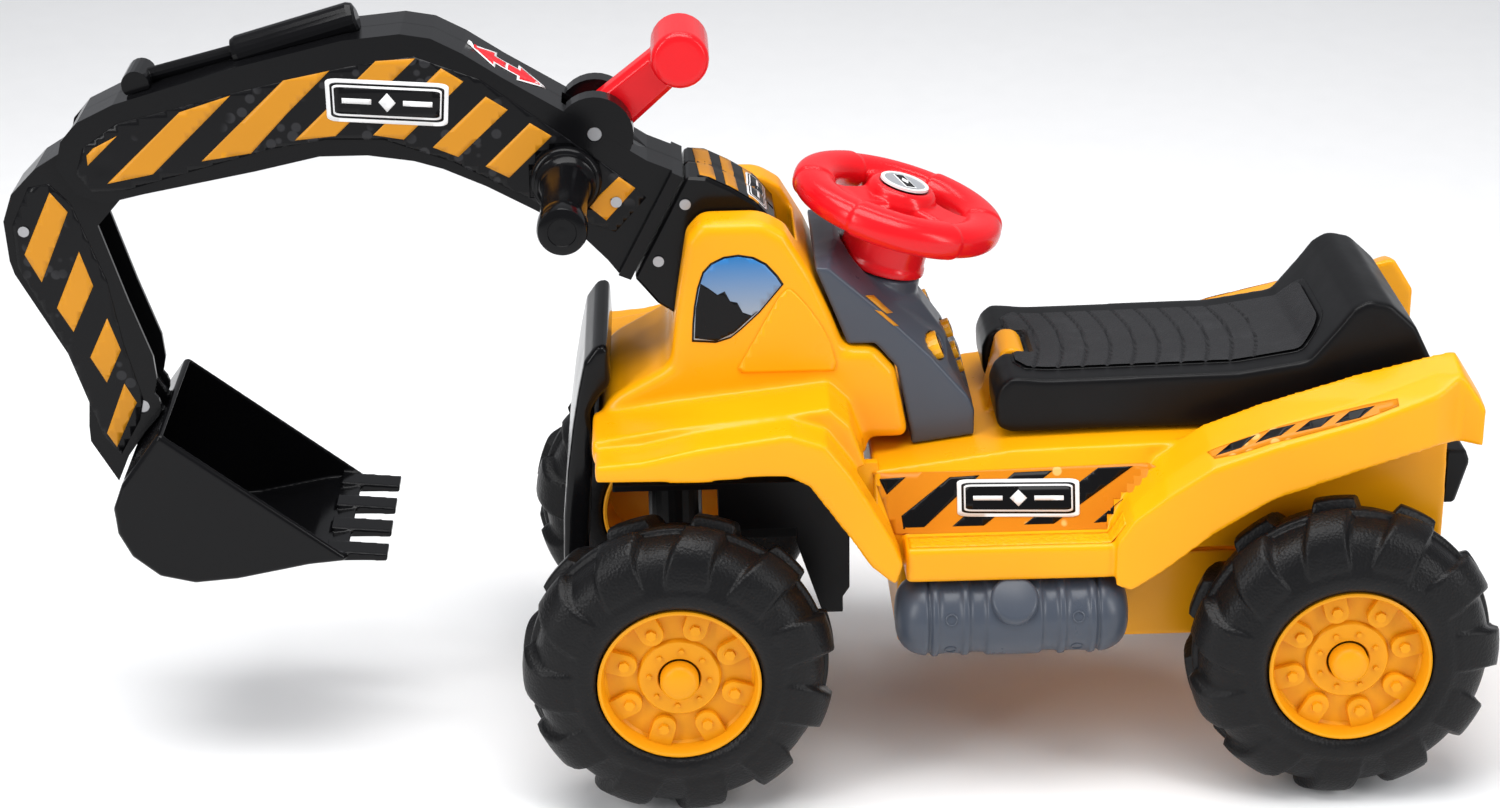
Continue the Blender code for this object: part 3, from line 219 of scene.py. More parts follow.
class Look:
    """Node wiring for one plastic."""

    def __init__(self, name, colour, roughness, metallic=0.0, coat=0.0, specular=0.5):
        self.material = bpy.data.materials.new(name)
        self.material.use_nodes = True
        self.tree = self.material.node_tree
        self.shader = self.tree.nodes["Principled BSDF"]
        self.shader.inputs["Metallic"].default_value = metallic
        self.shader.inputs["Specular IOR Level"].default_value = specular
        self.shader.inputs["Coat Weight"].default_value = coat
        self.shader.inputs["Coat Roughness"].default_value = 0.12
        self.coords = self.add("ShaderNodeTexCoord").outputs["Object"]
        self.colour(colour)
        self.roughness(roughness)
        self.height = None

    def add(self, kind, **inputs):
        made = self.tree.nodes.new(kind)
        for key, value in inputs.items():
            made.inputs[key].default_value = value
        return made

    def noise(self, scale, detail=3.0, roughness=0.5, stretch=None):
        made = self.add("ShaderNodeTexNoise", Scale=scale, Detail=detail, Roughness=roughness)
        self.tree.links.new(self.stretched(stretch), made.inputs["Vector"])
        return made.outputs["Fac"]

    def stretched(self, stretch):
        if stretch is None:
            return self.coords
        mapping = self.add("ShaderNodeMapping", Scale=stretch)
        self.tree.links.new(self.coords, mapping.inputs["Vector"])
        return mapping.outputs["Vector"]

    def cells(self, scale, feature="F1"):
        made = self.add("ShaderNodeTexVoronoi", Scale=scale)
        made.feature = feature
        self.tree.links.new(self.coords, made.inputs["Vector"])
        return made.outputs["Distance"]

    def ranged(self, source, low, high, out_low=0.0, out_high=1.0):
        made = self.add("ShaderNodeMapRange")
        made.inputs["From Min"].default_value = low
        made.inputs["From Max"].default_value = high
        made.inputs["To Min"].default_value = out_low
        made.inputs["To Max"].default_value = out_high
        self.tree.links.new(source, made.inputs["Value"])
        return made.outputs["Result"]

    def blend(self, factor, a, b):
        made = self.add("ShaderNodeMix")
        made.data_type = "RGBA"
        made.inputs[6].default_value = (*a, 1)
        made.inputs[7].default_value = (*b, 1)
        self.tree.links.new(factor, made.inputs[0])
        return made.outputs[2]

    def colour(self, base, spread=0.06):
        """The base colour with a faint cloudiness."""
        dark = tuple(c * (1 - spread) for c in base)
        light = tuple(min(1, c * (1 + spread)) for c in base)
        self.paint(self.blend(self.ranged(self.noise(9.0, 2.0), 0.3, 0.7), dark, light))

    def paint(self, socket):
        self.tree.links.new(socket, self.shader.inputs["Base Color"])

    def roughness(self, base, spread=0.12):
        low, high = base * (1 - spread), base * (1 + 2 * spread)
        worn = self.ranged(self.noise(38.0, 5.0, 0.6), 0.3, 0.75, low, high)
        self.tree.links.new(worn, self.shader.inputs["Roughness"])

    def bump(self, source, depth, distance=1.0):
        """Adds relief, depth being its strength and distance its height in mm."""
        made = self.add("ShaderNodeBump")
        made.inputs["Strength"].default_value = depth
        made.inputs["Distance"].default_value = distance * MM
        self.tree.links.new(source, made.inputs["Height"])
        if self.height:
            self.tree.links.new(self.height, made.inputs["Normal"])
        self.height = made.outputs["Normal"]
        self.tree.links.new(self.height, self.shader.inputs["Normal"])


def plastic(name, colour, roughness, orange_peel=0.12, coat=0.0, specular=0.5):
    """Smooth moulded plastic: faint orange peel, flow waviness and fine scuffs."""
    look = Look(name, colour, roughness, coat=coat, specular=specular)
    look.bump(look.noise(420.0, 2.0), orange_peel, 0.12)
    look.bump(look.noise(24.0, 1.5), 0.25, 0.25)
    scuffs = look.ranged(look.noise(150.0, 6.0, 0.7, (1.0, 0.25, 3.0)), 0.66, 0.78)
    look.bump(scuffs, 0.08, 0.05)
    return look


def grained(name, colour, roughness, scale, depth):
    """Leather-grained plastic, as on the tyres and the seat's pad."""
    look = Look(name, colour, roughness, specular=0.17)
    look.bump(look.cells(scale), depth, 0.35)
    look.bump(look.noise(scale * 2.2, 4.0, 0.6), depth * 0.5, 0.15)
    worn = look.ranged(look.noise(60.0, 6.0, 0.65), 0.55, 0.8)
    look.paint(look.blend(worn, colour, tuple(c * 1.5 for c in colour)))
    return look


YELLOW = (0.86, 0.355, 0.002)
HUB_YELLOW = (0.74, 0.30, 0.004)
ORANGE = (0.52, 0.215, 0.012)
BLACK = (0.0035, 0.0035, 0.0040)
GREY = (0.052, 0.062, 0.082)
SKY_HEIGHTS_M = (0.272, 0.312)

body_yellow = plastic("body_yellow", YELLOW, 0.30, 0.1, coat=0.06, specular=0.22)
hub_yellow = plastic("hub_yellow", HUB_YELLOW, 0.38, 0.15, specular=0.2)
button_yellow = plastic("button_yellow", (0.90, 0.42, 0.01), 0.25)
black_gloss = plastic("black_gloss", BLACK, 0.16, 0.08, specular=0.15)
black_satin = plastic("black_satin", (0.005, 0.005, 0.0056), 0.36, 0.2, specular=0.15)
inner_black = plastic("inner_black", (0.004, 0.004, 0.0044), 0.3, 0.2, specular=0.25)
grey = plastic("grey", GREY, 0.30, 0.12, specular=0.3)
red = plastic("red", (0.66, 0.006, 0.011), 0.22, 0.08, coat=0.08, specular=0.25)
tyre_black = grained("tyre_black", (0.0055, 0.0055, 0.006), 0.38, 620.0, 0.6)
seat_shell = plastic("seat_shell", (0.004, 0.004, 0.0045), 0.34, 0.15, specular=0.15)
seat_grain = grained("seat_grain", (0.019, 0.019, 0.0205), 0.48, 900.0, 0.8)
steel = Look("steel", (0.36, 0.36, 0.37), 0.3, metallic=1.0)
steel.bump(steel.noise(300.0, 4.0, 0.6, (1.0, 8.0, 1.0)), 0.15, 0.05)


def printed(name, colour, roughness=0.3, specular=0.2):
    """Printed film."""
    look = Look(name, colour, roughness, specular=specular)
    look.bump(look.noise(500.0, 2.0), 0.06, 0.05)
    return look


print_black = printed("print_black", (0.004, 0.004, 0.0046), 0.22, 0.15)
print_orange = printed("print_orange", ORANGE)
print_white = printed("print_white", (0.72, 0.72, 0.72))
print_grey = printed("print_grey", (0.30, 0.31, 0.33))
print_red = printed("print_red", (0.66, 0.012, 0.02))


def speckled(name, base, fleck, dots, dot_edge, patches, roughness=0.3, specular=0.2):
    """Printed film with clumps of round flecks."""
    look = printed(name, base, roughness, specular)
    dot = look.ranged(look.cells(dots), dot_edge, dot_edge - 0.06)
    clump = look.ranged(look.noise(patches, 2.0), 0.50, 0.56)
    both = look.add("ShaderNodeMath")
    both.operation = "MULTIPLY"
    look.tree.links.new(dot, both.inputs[0])
    look.tree.links.new(clump, both.inputs[1])
    look.paint(look.blend(both.outputs[0], base, fleck))
    return look


def make_sky():
    """A printed sky, blue above and pale at the horizon."""
    look = printed("sky", (0.05, 0.2, 0.5), 0.2)
    split = look.add("ShaderNodeSeparateXYZ")
    look.tree.links.new(look.coords, split.inputs[0])
    fade = look.ranged(split.outputs["Z"], *SKY_HEIGHTS_M)
    look.paint(look.blend(fade, (0.30, 0.34, 0.38), (0.02, 0.16, 0.42)))
    return look


gravel = speckled("gravel", (0.004, 0.004, 0.0046), (0.022, 0.022, 0.024), 105.0, 0.36, 26.0, 0.22, 0.15)
panel_orange = speckled("panel_orange", (0.60, 0.20, 0.006), (0.72, 0.42, 0.12), 95.0, 0.30, 22.0)
sky = make_sky()
tread = plastic("tread", YELLOW, 0.34, 0.1, specular=0.22)
tread.bump(tread.cells(330.0), 0.9, 0.8)


# ---------------------------------------------------------------- wheels

LUGS = 11
CASING = [
    (-27.5, 47.2), (-30.0, 49.5), (-31.0, 53.0), (-31.0, 57.0), (-29.6, 60.5), (-28.4, 64.0), (-26.8, 69.0),
    (-24.0, 74.5), (-19.5, 79.0), (-13.5, 81.6), (-7.0, 82.6), (-3.6, 82.8), (-2.8, 85.2), (0.0, 85.8),
]
CASING = CASING + [(-w, r) for w, r in reversed(CASING[:-1])]
LUG_HEIGHT = 6.6


def lug_height(turn, w, r):
    """How far a tread lug stands out at an angle, across the tyre at w with the casing's radius r."""
    side = -1 if w < 0 else 1
    out = abs(w)
    rise = ease((out - 3.2) / 1.6) * ease((r - 59.5) / 4.0)
    tall = mix(0.42, 1.0, ease((r - 62.0) / 15.0))
    sweep = 0.20 * ease((31 - out) / 26.0)
    phase = (turn / (2 * math.pi) * LUGS + (0.5 if side > 0 else 0.0) + side * sweep) % 1.0
    wide = mix(0.33, 0.255, ease((r - 62.0) / 20.0))
    edge = 0.035
    inside = ease((wide + edge - abs(phase - 0.5)) / (2 * edge))
    return LUG_HEIGHT * rise * tall * inside


def make_tyre_mesh():
    """A tyre about Z: rings of the casing pushed out where the lugs are."""
    line = smooth_line(CASING, 1)
    steps = 396
    bm = bmesh.new()
    rings = []
    for i in range(steps):
        turn = 2 * math.pi * i / steps
        ring = []
        for k, (w, r) in enumerate(line):
            before, after = line[max(0, k - 1)], line[min(len(line) - 1, k + 1)]
            along = Vector((after[0] - before[0], after[1] - before[1])).normalized()
            lift = lug_height(turn, w, r)
            w2, r2 = w - along.y * lift * 0.45, r + along.x * lift
            w2 = max(-30.9, min(30.9, w2))
            r2 = min(TYRE_R - 0.1, r2)
            ring.append(bm.verts.new((r2 * math.cos(turn), r2 * math.sin(turn), w2)))
        rings.append(ring)
    for a, b in zip(rings, rings[1:] + rings[:1]):
        for k in range(len(line) - 1):
            bm.faces.new((a[k], a[k + 1], b[k + 1], b[k]))
    return bm


def hexagon(radius, height, base, where):
    bm = bmesh.new()
    bmesh.ops.create_cone(bm, cap_ends=True, segments=6, radius1=radius, radius2=radius * 0.92, depth=height)
    return moved(bm, Matrix.Translation((where[0], where[1], base + height / 2)))


def pad_outline(reach):
    """A D-shaped pad, rounded towards the hub's middle and square on the rim."""
    round_end = arc((32.0, 0.0), 6.9, 90, 270, 12)
    return [(reach, -6.9)] + [(x, -y) for x, y in round_end] + [(reach, 6.9)]


def make_hub_mesh():
    """Dish, eight pads with their nuts, and a raised disc with eight small bolts, about Z."""
    dish = [
        (45.9, 24.0), (46.3, 28.4), (45.4, 29.0), (44.4, 28.8),
        (43.6, 27.4), (42.4, 19.0), (41.0, 17.6), (24.0, 17.2),
        (23.4, 19.0), (22.6, 19.8), (12.6, 20.2), (12.0, 19.4),
    ]
    shapes = [turned(dish, 96)]
    for i in range(8):
        spin = Matrix.Rotation(2 * math.pi * i / 8 + math.radians(8), 4, "Z")
        flat = [(x, y) for x, y in pad_outline(42.9)]
        pad = prism(flat, 17.0, 21.6, 0.7, 2)
        upright = Matrix(((1, 0, 0, 0), (0, 0, 1, 0), (0, 1, 0, 0), (0, 0, 0, 1)))
        shapes.append(moved(pad, spin @ upright))
        shapes.append(moved(hexagon(3.4, 2.6, 21.2, (32.6, 0)), spin))
        shapes.append(
            moved(hexagon(1.7, 1.7, 19.8, (17.2, 0)), spin @ Matrix.Rotation(math.radians(12), 4, "Z"))
        )
    return merged(*shapes)


def make_cap_mesh():
    dome = [(11.0, 19.6), (11.0, 25.4), (10.4, 27.0), (8.6, 28.6), (5.0, 29.6), (0.0, 29.9)]
    return turned(dome, 48)


def inner_rim():
    """The hub's barrel and its boss on the side that faces the body."""
    shell = [
        (46.0, 24.0), (46.0, -28.4), (45.0, -29.0), (43.6, -28.6),
        (43.4, 14.0), (14.0, 14.4), (14.0, -25.0), (13.0, -26.0),
        (5.4, -26.0),
    ]
    return turned(shell, 72)


def make_wheels():
    tyre = new_object("tyre_shape", make_tyre_mesh(), tyre_black, smooth=50)
    hub = new_object("hub_shape", merged(make_hub_mesh(), inner_rim()), hub_yellow, smooth=35)
    cap = new_object("cap_shape", make_cap_mesh(), hub_yellow, smooth=60)
    turns = {"front_left": 0.35, "front_right": 0.1, "rear_left": 0.12, "rear_right": 0.6}
    for tag, turn in turns.items():
        x = FRONT_X if tag.startswith("front") else REAR_X
        side = -1 if tag.endswith("left") else 1
        where = Vector((x, side * WHEEL_Y, AXLE_Z)) * MM
        face = Matrix.Translation(where) @ Matrix.Rotation(-side * math.pi / 2, 4, "X")
        for kind, shape in (("tyre", tyre), ("hub", hub), ("hub_cap", cap)):
            made = bpy.data.objects.new("%s_%s_look" % (kind, tag), shape.data.copy())
            bpy.context.scene.collection.objects.link(made)
            made.matrix_world = face @ Matrix.Rotation(turn, 4, "Z")
            made.data.transform(made.matrix_world)
            made.matrix_world = Matrix.Identity(4)
            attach(made, "wheel_" + tag)
            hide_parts("%s_%s" % (kind, tag))
    for shape in (tyre, hub, cap):
        bpy.data.objects.remove(shape)


# ---------------------------------------------------------------- nodes shown with rounded edges


def painted(name, look):
    node = nodes[name]
    node.data.materials.clear()
    node.data.materials.append(look.material)
    return node


def dress(names, look, width):
    """Gives nodes a look and, with a width, small rounded edges."""
    for name in names:
        node = painted(name, look)
        if width:
            crisp(node, width)


# node: its look, the size of its rounding grid and how often that is smoothed
SOFT = {
    "front_cowl": (body_yellow, 1.4, 16),
    "rear_body": (body_yellow, 1.4, 10),
    "console": (grey, 1.2, 5),
    "seat": (seat_shell, 1.3, 26),
    "front_bumper": (black_gloss, 1.2, 5),
    "control_lever": (red, 0.8, 4),
    "bucket": (black_gloss, 0.9, 3),
}
CRISP = (
    (
        ["boom_left", "boom_right", "turret_left", "turret_right", "stick", "ram_barrel", "ram_rod"],
        black_gloss, 1.0
    ),
    (["link_rod"], black_gloss, 0.5),
    (["front_frame", "front_axle_carrier", "tail_plate", "sound_module"], black_satin, 1.0),
    (["button_left", "button_right", "button_upper", "button_middle", "button_small"], button_yellow, 1.2),
    (["steering_badge"], print_black, 0.3),
)
STEEL_NODES = [
    "kingpin", "front_axle", "rear_axle", "steering_rod",
    "turret_pin", "seat_pin", "lever_pin", "lever_crank_pin",
    "stick_pin", "stick_crank_pin", "bucket_pin", "boom_screw", "turret_screw_upper", "turret_screw_lower",
    "stick_screw", "push_nut_front_left", "push_nut_front_right", "push_nut_rear_left", "push_nut_rear_right",
]


def dress_nodes():
    for name, (look, voxel, rounds) in SOFT.items():
        soften(painted(name, look), voxel, rounds)
    for names, look, width in CRISP:
        dress(names, look, width)
    dress(STEEL_NODES, steel, 0)


# ---------------------------------------------------------------- fuel tanks

TANK_Y = 100.0
TANK_Z = 108.0
TANK_X0 = 78.3
TANK_LONG = 134.0
TANK_END = [
    (0.0, 0.0), (0.3, 8.0), (1.6, 13.6), (4.2, 18.0), (8.2, 21.2), (13.0, 23.2), (17.0, 23.9), (18.2, 22.4),
    (19.4, 22.3), (20.6, 24.4), (23.6, 24.6), (24.8, 22.9),
    (36.8, 22.9), (38.0, 24.5), (41.0, 24.5), (42.2, 22.5),
    (50.4, 22.5), (51.6, 24.2), (54.0, 24.4),
]
TANK_BOSS_TURN = math.radians(43)
TANK_HOLES = ((30.8, 17), (103.2, 17), (30.8, -38), (103.2, -38))


def make_tank(tag, side):
    """A ribbed barrel with domed ends, and a round boss that faces up and out."""
    line = TANK_END + [(TANK_LONG - t, r) for t, r in reversed(TANK_END)]
    fair = smooth_line(line, 1)
    barrel = turned([(r, t) for t, r in fair], 72)
    along = Matrix(((0, 0, 1, TANK_X0), (side, 0, 0, side * TANK_Y), (0, 1, 0, TANK_Z), (0, 0, 0, 1)))
    moved(barrel, along)
    centre = Vector((TANK_X0 + TANK_LONG / 2, side * TANK_Y, TANK_Z))
    out = Vector((0, side * math.cos(TANK_BOSS_TURN), math.sin(TANK_BOSS_TURN)))
    boss = turned([(14.4, 14.0), (14.2, 22.0), (13.6, 25.6), (12.7, 26.9), (11.4, 27.3), (0.0, 27.3)], 48)
    moved(boss, aimed(centre, out))
    made = new_object("tank_%s_look" % tag, merged(barrel, boss), grey, "body", 50)
    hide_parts("side_tank_" + tag)
    rims, insets = [], []
    for t, turn in TANK_HOLES:
        angle = math.radians(turn)
        out = Vector((0, side * math.cos(angle), math.sin(angle)))
        where = Vector((TANK_X0 + t, side * TANK_Y, TANK_Z)) + out * 22.6
        rims.append(
            moved(
                turned([(3.7, -0.6), (3.6, 0.55), (3.1, 0.8), (2.7, 0.6), (2.6, -0.4)], 24), aimed(where, out)
            )
        )
        insets.append(moved(turned([(2.6, -0.6), (2.5, 0.1), (0.0, 0.05)], 24), aimed(where, out)))
    new_object("tank_%s_rims" % tag, merged(*rims), grey, "body", 40)
    new_object("tank_%s_insets" % tag, merged(*insets), inner_black, "body", 40)


# ---------------------------------------------------------------- steering wheel

WHEEL_MIDDLE = Vector((86.7, 0, 322.4))
COLUMN = Vector((math.sin(RAKE), 0, math.cos(RAKE)))
BADGE_MIDDLE = WHEEL_MIDDLE + COLUMN * 2.0
RING_R = 51.0
SPOKE_TURNS = (0, 120, 240)
GRIP_TURNS = (60, 180, 300)
# a spoke's distance out, half width, underside and top
SPOKE = (
    (14, 15, -8, 6.5),
    (24, 13.5, -7, 5.6),
    (33, 14.5, -6.5, 5.0),
    (42, 19, -6, 5.4),
    (50, 23, -5, 5.4),
)


def ring_section(turn):
    """Half width and half height of the rim, thicker where the hands go."""
    apart = min(abs((math.degrees(turn) - s + 180) % 360 - 180) for s in GRIP_TURNS)
    grip = ease((33 - apart) / 2.2)
    return 11.6 + 0.9 * grip, 9.2 + 1.1 * grip


def make_rim():
    steps, sides = 240, 36
    rings = []
    for i in range(steps):
        turn = 2 * math.pi * i / steps
        half, tall = ring_section(turn)
        ring = []
        for k in range(sides):
            a = 2 * math.pi * k / sides
            across = half * math.copysign(abs(math.cos(a)) ** 0.85, math.cos(a))
            up = tall * math.copysign(abs(math.sin(a)) ** 0.85, math.sin(a))
            ring.append(
                ((RING_R + across - 0.6) * math.cos(turn), (RING_R + across - 0.6) * math.sin(turn), up)
            )
        rings.append(ring)
    bm = bmesh.new()
    verts = [[bm.verts.new(p) for p in ring] for ring in rings]
    for a, b in zip(verts, verts[1:] + verts[:1]):
        for k in range(sides):
            bm.faces.new((a[k], a[(k + 1) % sides], b[(k + 1) % sides], b[k]))
    return bm


def make_spoke(turn):
    """A broad bar from the hub to the rim, wider and lower as it goes out."""
    sections = []
    for r, wide, low, high in SPOKE:
        sections.append([
            (r, -wide, low + 1.5), (r, -wide + 1.5, low), (r, wide - 1.5, low), (r, wide, low + 1.5),
            (r, wide, high - 3), (r, wide - 1.2, high - 1), (r, wide - 3.5, high), (r, -wide + 3.5, high),
            (r, -wide + 1.2, high - 1), (r, -wide, high - 3),
        ])
    return moved(lofted(sections), Matrix.Rotation(math.radians(turn), 4, "Z"))


def make_steering_look():
    hub = [
        (0.0, 11.2), (14.0, 11.4), (14.6, 12.3), (16.6, 12.4),
        (18.6, 11.6), (20.2, 9.0), (21.6, 5.0), (22.0, -6.0),
        (22.6, -12.0), (24.2, -14.0), (24.8, -20.0), (25.2, -31.0),
        (26.2, -33.0), (26.6, -36.4), (25.4, -37.0), (0.0, -37.0),
    ]
    shapes = [make_rim(), turned(hub, 64)] + [make_spoke(turn) for turn in SPOKE_TURNS]
    bm = moved(merged(*shapes), aimed(WHEEL_MIDDLE, COLUMN))
    made = new_object("steering_wheel_look", bm, red, "steering", 60)
    soften(made, 0.7, 5)
    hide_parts("steering_wheel")
    ring = turned([(14.4, 11.2), (14.3, 12.6), (13.8, 12.9), (12.2, 12.7), (12.0, 11.6)], 48)
    new_object("wheel_badge_ring", moved(ring, aimed(BADGE_MIDDLE, COLUMN)), print_white, "steering", 40)
    disc = turned([(12.2, 11.4), (12.1, 12.1), (0.0, 12.3)], 48)
    new_object("wheel_badge_disc", moved(disc, aimed(BADGE_MIDDLE, COLUMN)), print_grey, "steering", 40)
    bar = prism([(-9.5, -3.6), (9.5, -3.6), (9.5, 3.6), (-9.5, 3.6)], 12.2, 12.7, 0.2, 1)
    dark = prism([(-8.7, -2.8), (8.7, -2.8), (8.7, 2.8), (-8.7, 2.8)], 12.4, 12.9, 0.2, 1)
    marks = [prism([(0.0, -2.2), (4.2, 0.0), (0.0, 2.2), (-4.2, 0.0)], 12.6, 13.05, 0.1, 1)]
    flat_up = Matrix(((1, 0, 0, 0), (0, 0, 1, 0), (0, 1, 0, 0), (0, 0, 0, 1)))
    spin = aimed(BADGE_MIDDLE, COLUMN) @ Matrix.Rotation(math.radians(20), 4, "Z") @ flat_up
    new_object("wheel_badge_bar", moved(bar, spin), print_white, "steering", 40)
    new_object("wheel_badge_dark", moved(dark, spin), print_black, "steering", 40)
    new_object("wheel_badge_marks", moved(merged(*marks), spin), print_white, "steering", 40)


# ---------------------------------------------------------------- stickers


def surface(*names):
    """What rays hit: the finished skins of some nodes."""
    bpy.context.view_layer.update()
    graph = bpy.context.evaluated_depsgraph_get()
    bm = bmesh.new()
    for name in names:
        seen = nodes[name].evaluated_get(graph)
        mesh = bpy.data.meshes.new_from_object(seen)
        mesh.transform(nodes[name].matrix_world)
        bm.from_mesh(mesh)
        bpy.data.meshes.remove(mesh)
    tree = BVHTree.FromBMesh(bm)
    bm.free()
    return tree


def draped(name, polygons, towards, tree, look, body, lift=0.3, reach=24.0, step=4.0, relief=None):
    """Flat shapes pressed onto a surface along a direction and lifted a little off it."""
    towards = Vector(towards).normalized()
    across = towards.orthogonal().normalized()
    if abs(towards.x) < 0.99:
        across = (Vector((1, 0, 0)) - towards * towards.x).normalized()
    up = across.cross(towards)
    whole = bmesh.new()
    for points in polygons:
        bm = bmesh.new()
        deep = sum(Vector(p).dot(towards) for p in points) / len(points)
        flat = [Vector(p) + towards * (deep - Vector(p).dot(towards)) for p in points]
        bm.faces.new([bm.verts.new(p) for p in flat])
        for axis in (across, up):
            spans = [v.co.dot(axis) for v in bm.verts]
            at = math.floor(min(spans) / step) * step + step
            while at < max(spans):
                everything = bm.verts[:] + bm.edges[:] + bm.faces[:]
                bmesh.ops.bisect_plane(bm, geom=everything, plane_co=axis * at, plane_no=axis)
                at += step
        depths = {}
        for v in bm.verts:
            start = v.co - towards * reach
            hit = tree.ray_cast(start * MM, towards, 4 * reach * MM)
            if hit[0] is not None:
                depths[v] = (hit[0] / MM, hit[1])
        for v in bm.verts:
            if v in depths:
                where, normal = depths[v]
                away = lift + (relief(v.co) if relief else 0.0)
                v.co = where + normal * away
            elif depths:
                near = min(depths, key=lambda w: (w.co - v.co).length)
                v.co = v.co + towards * (depths[near][0] - near.co).dot(towards)
        spare = bpy.data.meshes.new("spare")
        bm.to_mesh(spare)
        bm.free()
        whole.from_mesh(spare)
        bpy.data.meshes.remove(spare)
    bmesh.ops.recalc_face_normals(whole, faces=whole.faces)
    made = new_object(name, whole, look, body, 30)
    skin = made.modifiers.new("skin", "SOLIDIFY")
    skin.thickness = 0.15 * MM
    skin.offset = 0.0
    return made


def on_side(points, y):
    """Side-view points, from the front axle, in the plane at y."""
    return [(FRONT_X + x, y, AXLE_Z + z) for x, z in points]


def on_slope(points, start, along):
    """(distance down a slope, y) points in space, from where the slope starts in the side view."""
    return [(FRONT_X + start[0] + along[0] * s, y, AXLE_Z + start[1] + along[1] * s) for s, y in points]


def round_box(x0, x1, y0, y1, r, count=5):
    """A rounded rectangle in a unit square."""
    corners = ((x1 - r, y1 - r, 0), (x0 + r, y1 - r, 90), (x0 + r, y0 + r, 180), (x1 - r, y0 + r, 270))
    points = []
    for cx, cy, start in corners:
        points += arc((cx, cy), r, start, start + 90, count)
    return points


def spread(points, quad):
    """Points of the unit square placed in a patch whose corners run clockwise from the top left."""
    tl, tr, br, bl = (Vector(c) for c in quad)
    return [tuple(bl.lerp(br, x).lerp(tl.lerp(tr, x), y)) for x, y in points]


def facing(quad, side):
    """A patch's corners, swapped on the right so that it reads from outside."""
    return [quad[1], quad[0], quad[3], quad[2]] if side > 0 else quad


def badge(name, quad, towards, tree, body, lift=0.6, reach=24.0):
    """A framed plaque with slanted bars in it."""
    rim = spread(round_box(0, 1, 0, 1, 0.09), quad)
    field = spread(round_box(0.035, 0.965, 0.09, 0.91, 0.07), quad)
    line = spread(round_box(0.055, 0.945, 0.14, 0.86, 0.06), quad)
    inner = spread(round_box(0.068, 0.932, 0.19, 0.81, 0.05), quad)
    draped(name + "_rim", [rim], towards, tree, print_white, body, lift, reach)
    draped(name + "_field", [field], towards, tree, print_black, body, lift + 0.15, reach)
    draped(name + "_line", [line], towards, tree, print_white, body, lift + 0.3, reach)
    draped(name + "_inner", [inner], towards, tree, print_black, body, lift + 0.45, reach)
    bars = [
        spread([(0.13, 0.44), (0.37, 0.44), (0.37, 0.56), (0.13, 0.56)], quad),
        spread([(0.43, 0.50), (0.50, 0.28), (0.57, 0.50), (0.50, 0.72)], quad),
        spread([(0.63, 0.44), (0.87, 0.44), (0.87, 0.56), (0.63, 0.56)], quad),
    ]
    draped(name + "_bars", bars, towards, tree, print_white, body, lift + 0.6, reach)


# planes the stickers are laid out in, and how near the arm's surface their rays start
BOOM_SIDE = 24
STICK_SIDE = 19
PANEL_SIDE = 90
CAB_SIDE = 60
CONSOLE_SIDE = 52
CLOSE = 2.5

BOOM_FIELD = [
    (-332, 271), (-327, 286), (-307, 300), (-233, 318), (-176, 330),
    (-139, 335), (-103, 321), (-60, 289), (-24, 261),
    (-12, 249), (-30, 229), (-60, 240), (-89, 256), (-120, 273),
    (-158, 287), (-190, 288), (-223, 283), (-304, 261), (-324, 260),
]
BOOM_STRIPES = [
    [(-325, 276), (-325, 282), (-321, 286), (-307, 293)],
    [(-315, 265), (-271, 306), (-242, 315), (-289, 270)],
    [(-261, 277), (-212, 323), (-186, 328), (-211, 304), (-233, 281)],
    [(-208, 288), (-160, 333), (-138, 334), (-185, 290)],
    [(-164, 290), (-124, 328), (-112, 320), (-147, 287)], [(-131, 282), (-100, 311), (-88, 303), (-117, 276)],
    [(-102, 270), (-76, 295), (-64, 287), (-89, 263)], [(-45, 245), (-27, 262), (-18, 255), (-35, 236)],
]
BOOM_BADGE = [(-189, 324), (-120, 319), (-122, 294), (-189, 299)]
STICK_FIELD = [
    (-361, 262), (-349, 264), (-338, 252), (-322, 205), (-316, 165),
    (-308, 131), (-311, 118), (-324, 96), (-333, 108),
    (-350, 165), (-372, 215), (-372, 240),
]
STICK_STRIPES = [
    [(-349, 259), (-340, 247), (-359, 205), (-367, 222)],
    [(-336, 223), (-330, 202), (-344, 174), (-352, 189)],
    [(-324, 182), (-318, 162), (-328, 142), (-336, 158)],
    [(-318, 141), (-312, 129), (-326, 101), (-331, 110)],
]
SLOPE = (0.815, -0.58)
ARROW = [(-22, 0), (-8.5, -11), (-8.5, -5), (-0.7, -5), (-0.7, 5), (-8.5, 5), (-8.5, 11)]
ARROW_EDGE = [(-26, 0), (-7, -14.5), (-7, -6.6), (0, -6.6), (0, 6.6), (-7, 6.6), (-7, 14.5)]


def turned_about(points):
    """Points of a slope turned half a turn about its middle."""
    return [(-s, -y) for s, y in points]


